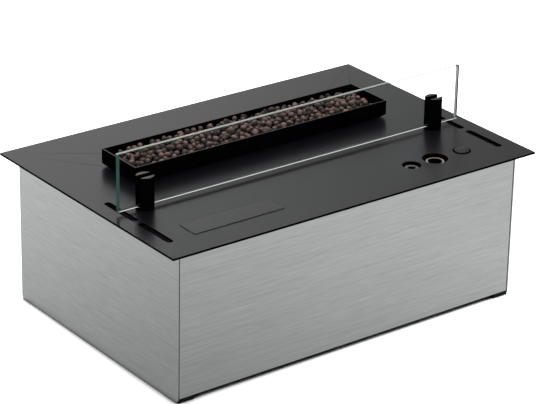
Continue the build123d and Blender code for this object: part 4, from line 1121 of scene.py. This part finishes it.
class FIREPLACE_OT_tank(PieceOperator, bpy.types.Operator):
    """Finish the tank, its lid, breather and level sender, and the gaskets"""

    bl_idname = "fireplace.tank"
    bl_label = "Fuel Tank"

    def execute(self, context):
        dress(tank_steel(), "fuel_tank", "tank_lid", "level_stem")
        dress(gasket_board(), "tank_gasket", "tray_gasket")
        dress(float_foam(), "level_float")
        dress(box_plastic(), "breather_valve")
        return {"FINISHED"}


class FIREPLACE_OT_pump(PieceOperator, bpy.types.Operator):
    """Finish the fuel pump and its pipes"""

    bl_idname = "fireplace.pump"
    bl_label = "Pump and Pipes"

    def execute(self, context):
        dress(pump_metal(), "pump_body", "pump_cover")
        dress(motor_can(), "pump_motor", "pump_rotor")
        dress(tank_steel(), "suction_pipe", "feed_pipe")
        return {"FINISHED"}


class FIREPLACE_OT_fan(PieceOperator, bpy.types.Operator):
    """Finish the cooling fan and the air ducts"""

    bl_idname = "fireplace.fan"
    bl_label = "Fan and Ducts"

    def execute(self, context):
        dress(fan_plastic(), "fan_frame", "fan_rotor")
        dress(pan_steel(), "air_ducts")
        return {"FINISHED"}


class FIREPLACE_OT_electrics(PieceOperator, bpy.types.Operator):
    """Finish the control box, its board, the battery and the leads"""

    bl_idname = "fireplace.electrics"
    bl_label = "Control Box and Battery"

    def execute(self, context):
        dress(box_plastic(), "control_box", "control_lid")
        dress(circuit_board(), "control_board")
        dress(board_plastic(), "board_parts")
        dress(battery_wrap(), "battery_pack")
        dress(lead_cover(), "wiring_leads")
        return {"FINISHED"}


class FIREPLACE_OT_fasteners(PieceOperator, bpy.types.Operator):
    """Finish the screws, nuts, studs, clips and corner angles"""

    bl_idname = "fireplace.fasteners"
    bl_label = "Fasteners"

    def execute(self, context):
        zinc = zinc_plate()
        dress(zinc, "plate_studs", "plate_nuts", "post_nuts", "trough_screws", "tank_screws")
        dress(zinc, "hose_clips", "corner_angles")
        return {"FINISHED"}


# ------------ stage


def pale_floor(stage):
    """Round pale sweep, lit from below, dimmer by the near corner, with a painted contact shadow by the
    fireplace, far larger than the view.
    """

    def fill(shape):
        bmesh.ops.create_circle(shape, cap_ends=True, segments=96, radius=stage.floor_radius)

    made, tree, shader = new_material("Pale floor", roughness=0.8, Specular_IOR_Level=0.1)
    mottle = effect(tree, "patches", patch_size=0.4)["Mask"]
    reach = combine(tree, "DISTANCE", object_place(tree), (*stage.dim_place, 0.0))
    glow = spread(tree, reach, 0.0, stage.dim_radius, stage.floor_dim, stage.floor_glow)
    # Painted contact shadow: colour and glow darken where ambient occlusion finds parts close by.
    contact = tree.nodes.new("ShaderNodeAmbientOcclusion")
    contact.inputs["Distance"].default_value = CONTACT_REACH
    contact.samples = 12
    contact_shadow_mask = spread(tree, contact.outputs["AO"], CONTACT_DARK, CONTACT_LIGHT)
    tree.links.new(calculate(tree, "MULTIPLY", glow, contact_shadow_mask), shader.inputs["Emission Strength"])
    pale = blend_colours(tree, mottle, (0.5, 0.5, 0.5, 1.0), (0.52, 0.52, 0.52, 1.0))
    tree.links.new(blend_colours(tree, contact_shadow_mask, (0.02, 0.02, 0.02, 1.0), pale), shader.inputs["Base Color"])
    shader.inputs["Emission Color"].default_value = (1.0, 1.0, 1.0, 1.0)
    floor = new_piece("pale_floor", fill, [made], smooth=False)
    floor.location.z = -FLOOR_DROP


def soft_sky(stage):
    """White light from all round, with a dark flag at the back right."""
    world = bpy.data.worlds.new("Soft studio")
    world.use_nodes = True
    tree = world.node_tree
    background = tree.nodes["Background"]
    background.inputs["Color"].default_value = (1.0, 1.0, 1.0, 1.0)
    sight = tree.nodes.new("ShaderNodeTexCoord").outputs["Generated"]
    heading, height = stage.flag_heading, stage.flag_height
    flag = (math.sin(heading) * math.cos(height), math.cos(heading) * math.cos(height), math.sin(height))
    towards = combine(tree, "DOT_PRODUCT", sight, flag)
    edge = math.cos(stage.flag_reach)
    strength = spread(tree, towards, edge - 0.04, edge + 0.04, stage.sky_strength, stage.flag_strength)
    tree.links.new(strength, background.inputs["Strength"])
    bpy.context.scene.world = world


def photo_camera(stage):
    """Camera at the angle of the photograph."""
    heading, tilt, roll = stage.camera_turn
    turn = (
        Matrix.Rotation(heading, 4, "Z")
        @ Matrix.Rotation(math.radians(90) - tilt, 4, "X")
        @ Matrix.Rotation(roll, 4, "Z")
    )
    camera = bpy.data.objects.new("camera", bpy.data.cameras.new("camera"))
    camera.data.lens = stage.lens
    camera.data.sensor_width = 36.0
    camera.data.clip_end = 50.0
    camera.matrix_world = Matrix.Translation(stage.camera_place) @ turn
    bpy.context.scene.collection.objects.link(camera)
    bpy.context.scene.camera = camera


class FIREPLACE_OT_stage(PieceOperator, bpy.types.Operator):
    """Set up the floor, the soft light and the camera"""

    bl_idname = "fireplace.stage"
    bl_label = "Stage"

    def execute(self, context):
        _, _, stage = settings()
        pale_floor(stage)
        soft_sky(stage)
        photo_camera(stage)
        context.scene.view_settings.view_transform = "Standard"
        return {"FINISHED"}


# ------------ panel and registration

STEPS = (
    FIREPLACE_OT_plate,
    FIREPLACE_OT_casing,
    FIREPLACE_OT_glass,
    FIREPLACE_OT_posts,
    FIREPLACE_OT_burner,
    FIREPLACE_OT_stones,
    FIREPLACE_OT_filler,
    FIREPLACE_OT_controls,
    FIREPLACE_OT_tank,
    FIREPLACE_OT_pump,
    FIREPLACE_OT_fan,
    FIREPLACE_OT_electrics,
    FIREPLACE_OT_fasteners,
    FIREPLACE_OT_stage,
)


class FIREPLACE_PT_panel(bpy.types.Panel):
    """Lists the steps that finish the fireplace, and the values they use"""

    bl_label = "Fireplace"
    bl_idname = "FIREPLACE_PT_panel"
    bl_space_type = "VIEW_3D"
    bl_region_type = "UI"
    bl_category = "Fireplace"

    def draw(self, context):
        column = self.layout.column(align=True)
        for step in STEPS:
            column.operator(step.bl_idname)
        for group in settings():
            box = self.layout.box()
            for name in group.__annotations__:
                box.prop(group, name)


CLASSES = (FireplaceColours, FireplaceSizes, FireplaceStage, *STEPS, FIREPLACE_PT_panel)


def register():
    """Registers the classes and hangs the values on the scene."""
    for each in CLASSES:
        bpy.utils.register_class(each)
    bpy.types.Scene.fireplace_colours = PointerProperty(type=FireplaceColours)
    bpy.types.Scene.fireplace_sizes = PointerProperty(type=FireplaceSizes)
    bpy.types.Scene.fireplace_stage = PointerProperty(type=FireplaceStage)


def unregister():
    """Takes the values and the classes away again."""
    del bpy.types.Scene.fireplace_stage
    del bpy.types.Scene.fireplace_sizes
    del bpy.types.Scene.fireplace_colours
    for each in reversed(CLASSES):
        bpy.utils.unregister_class(each)


def main():
    """Registers the classes, then runs every step in order."""
    register()
    for step in STEPS:
        group, name = step.bl_idname.split(".")
        if getattr(getattr(bpy.ops, group), name)() != {"FINISHED"}:
            raise RuntimeError(f"{step.bl_label} did not finish")


if __name__ == "__main__":
    main()
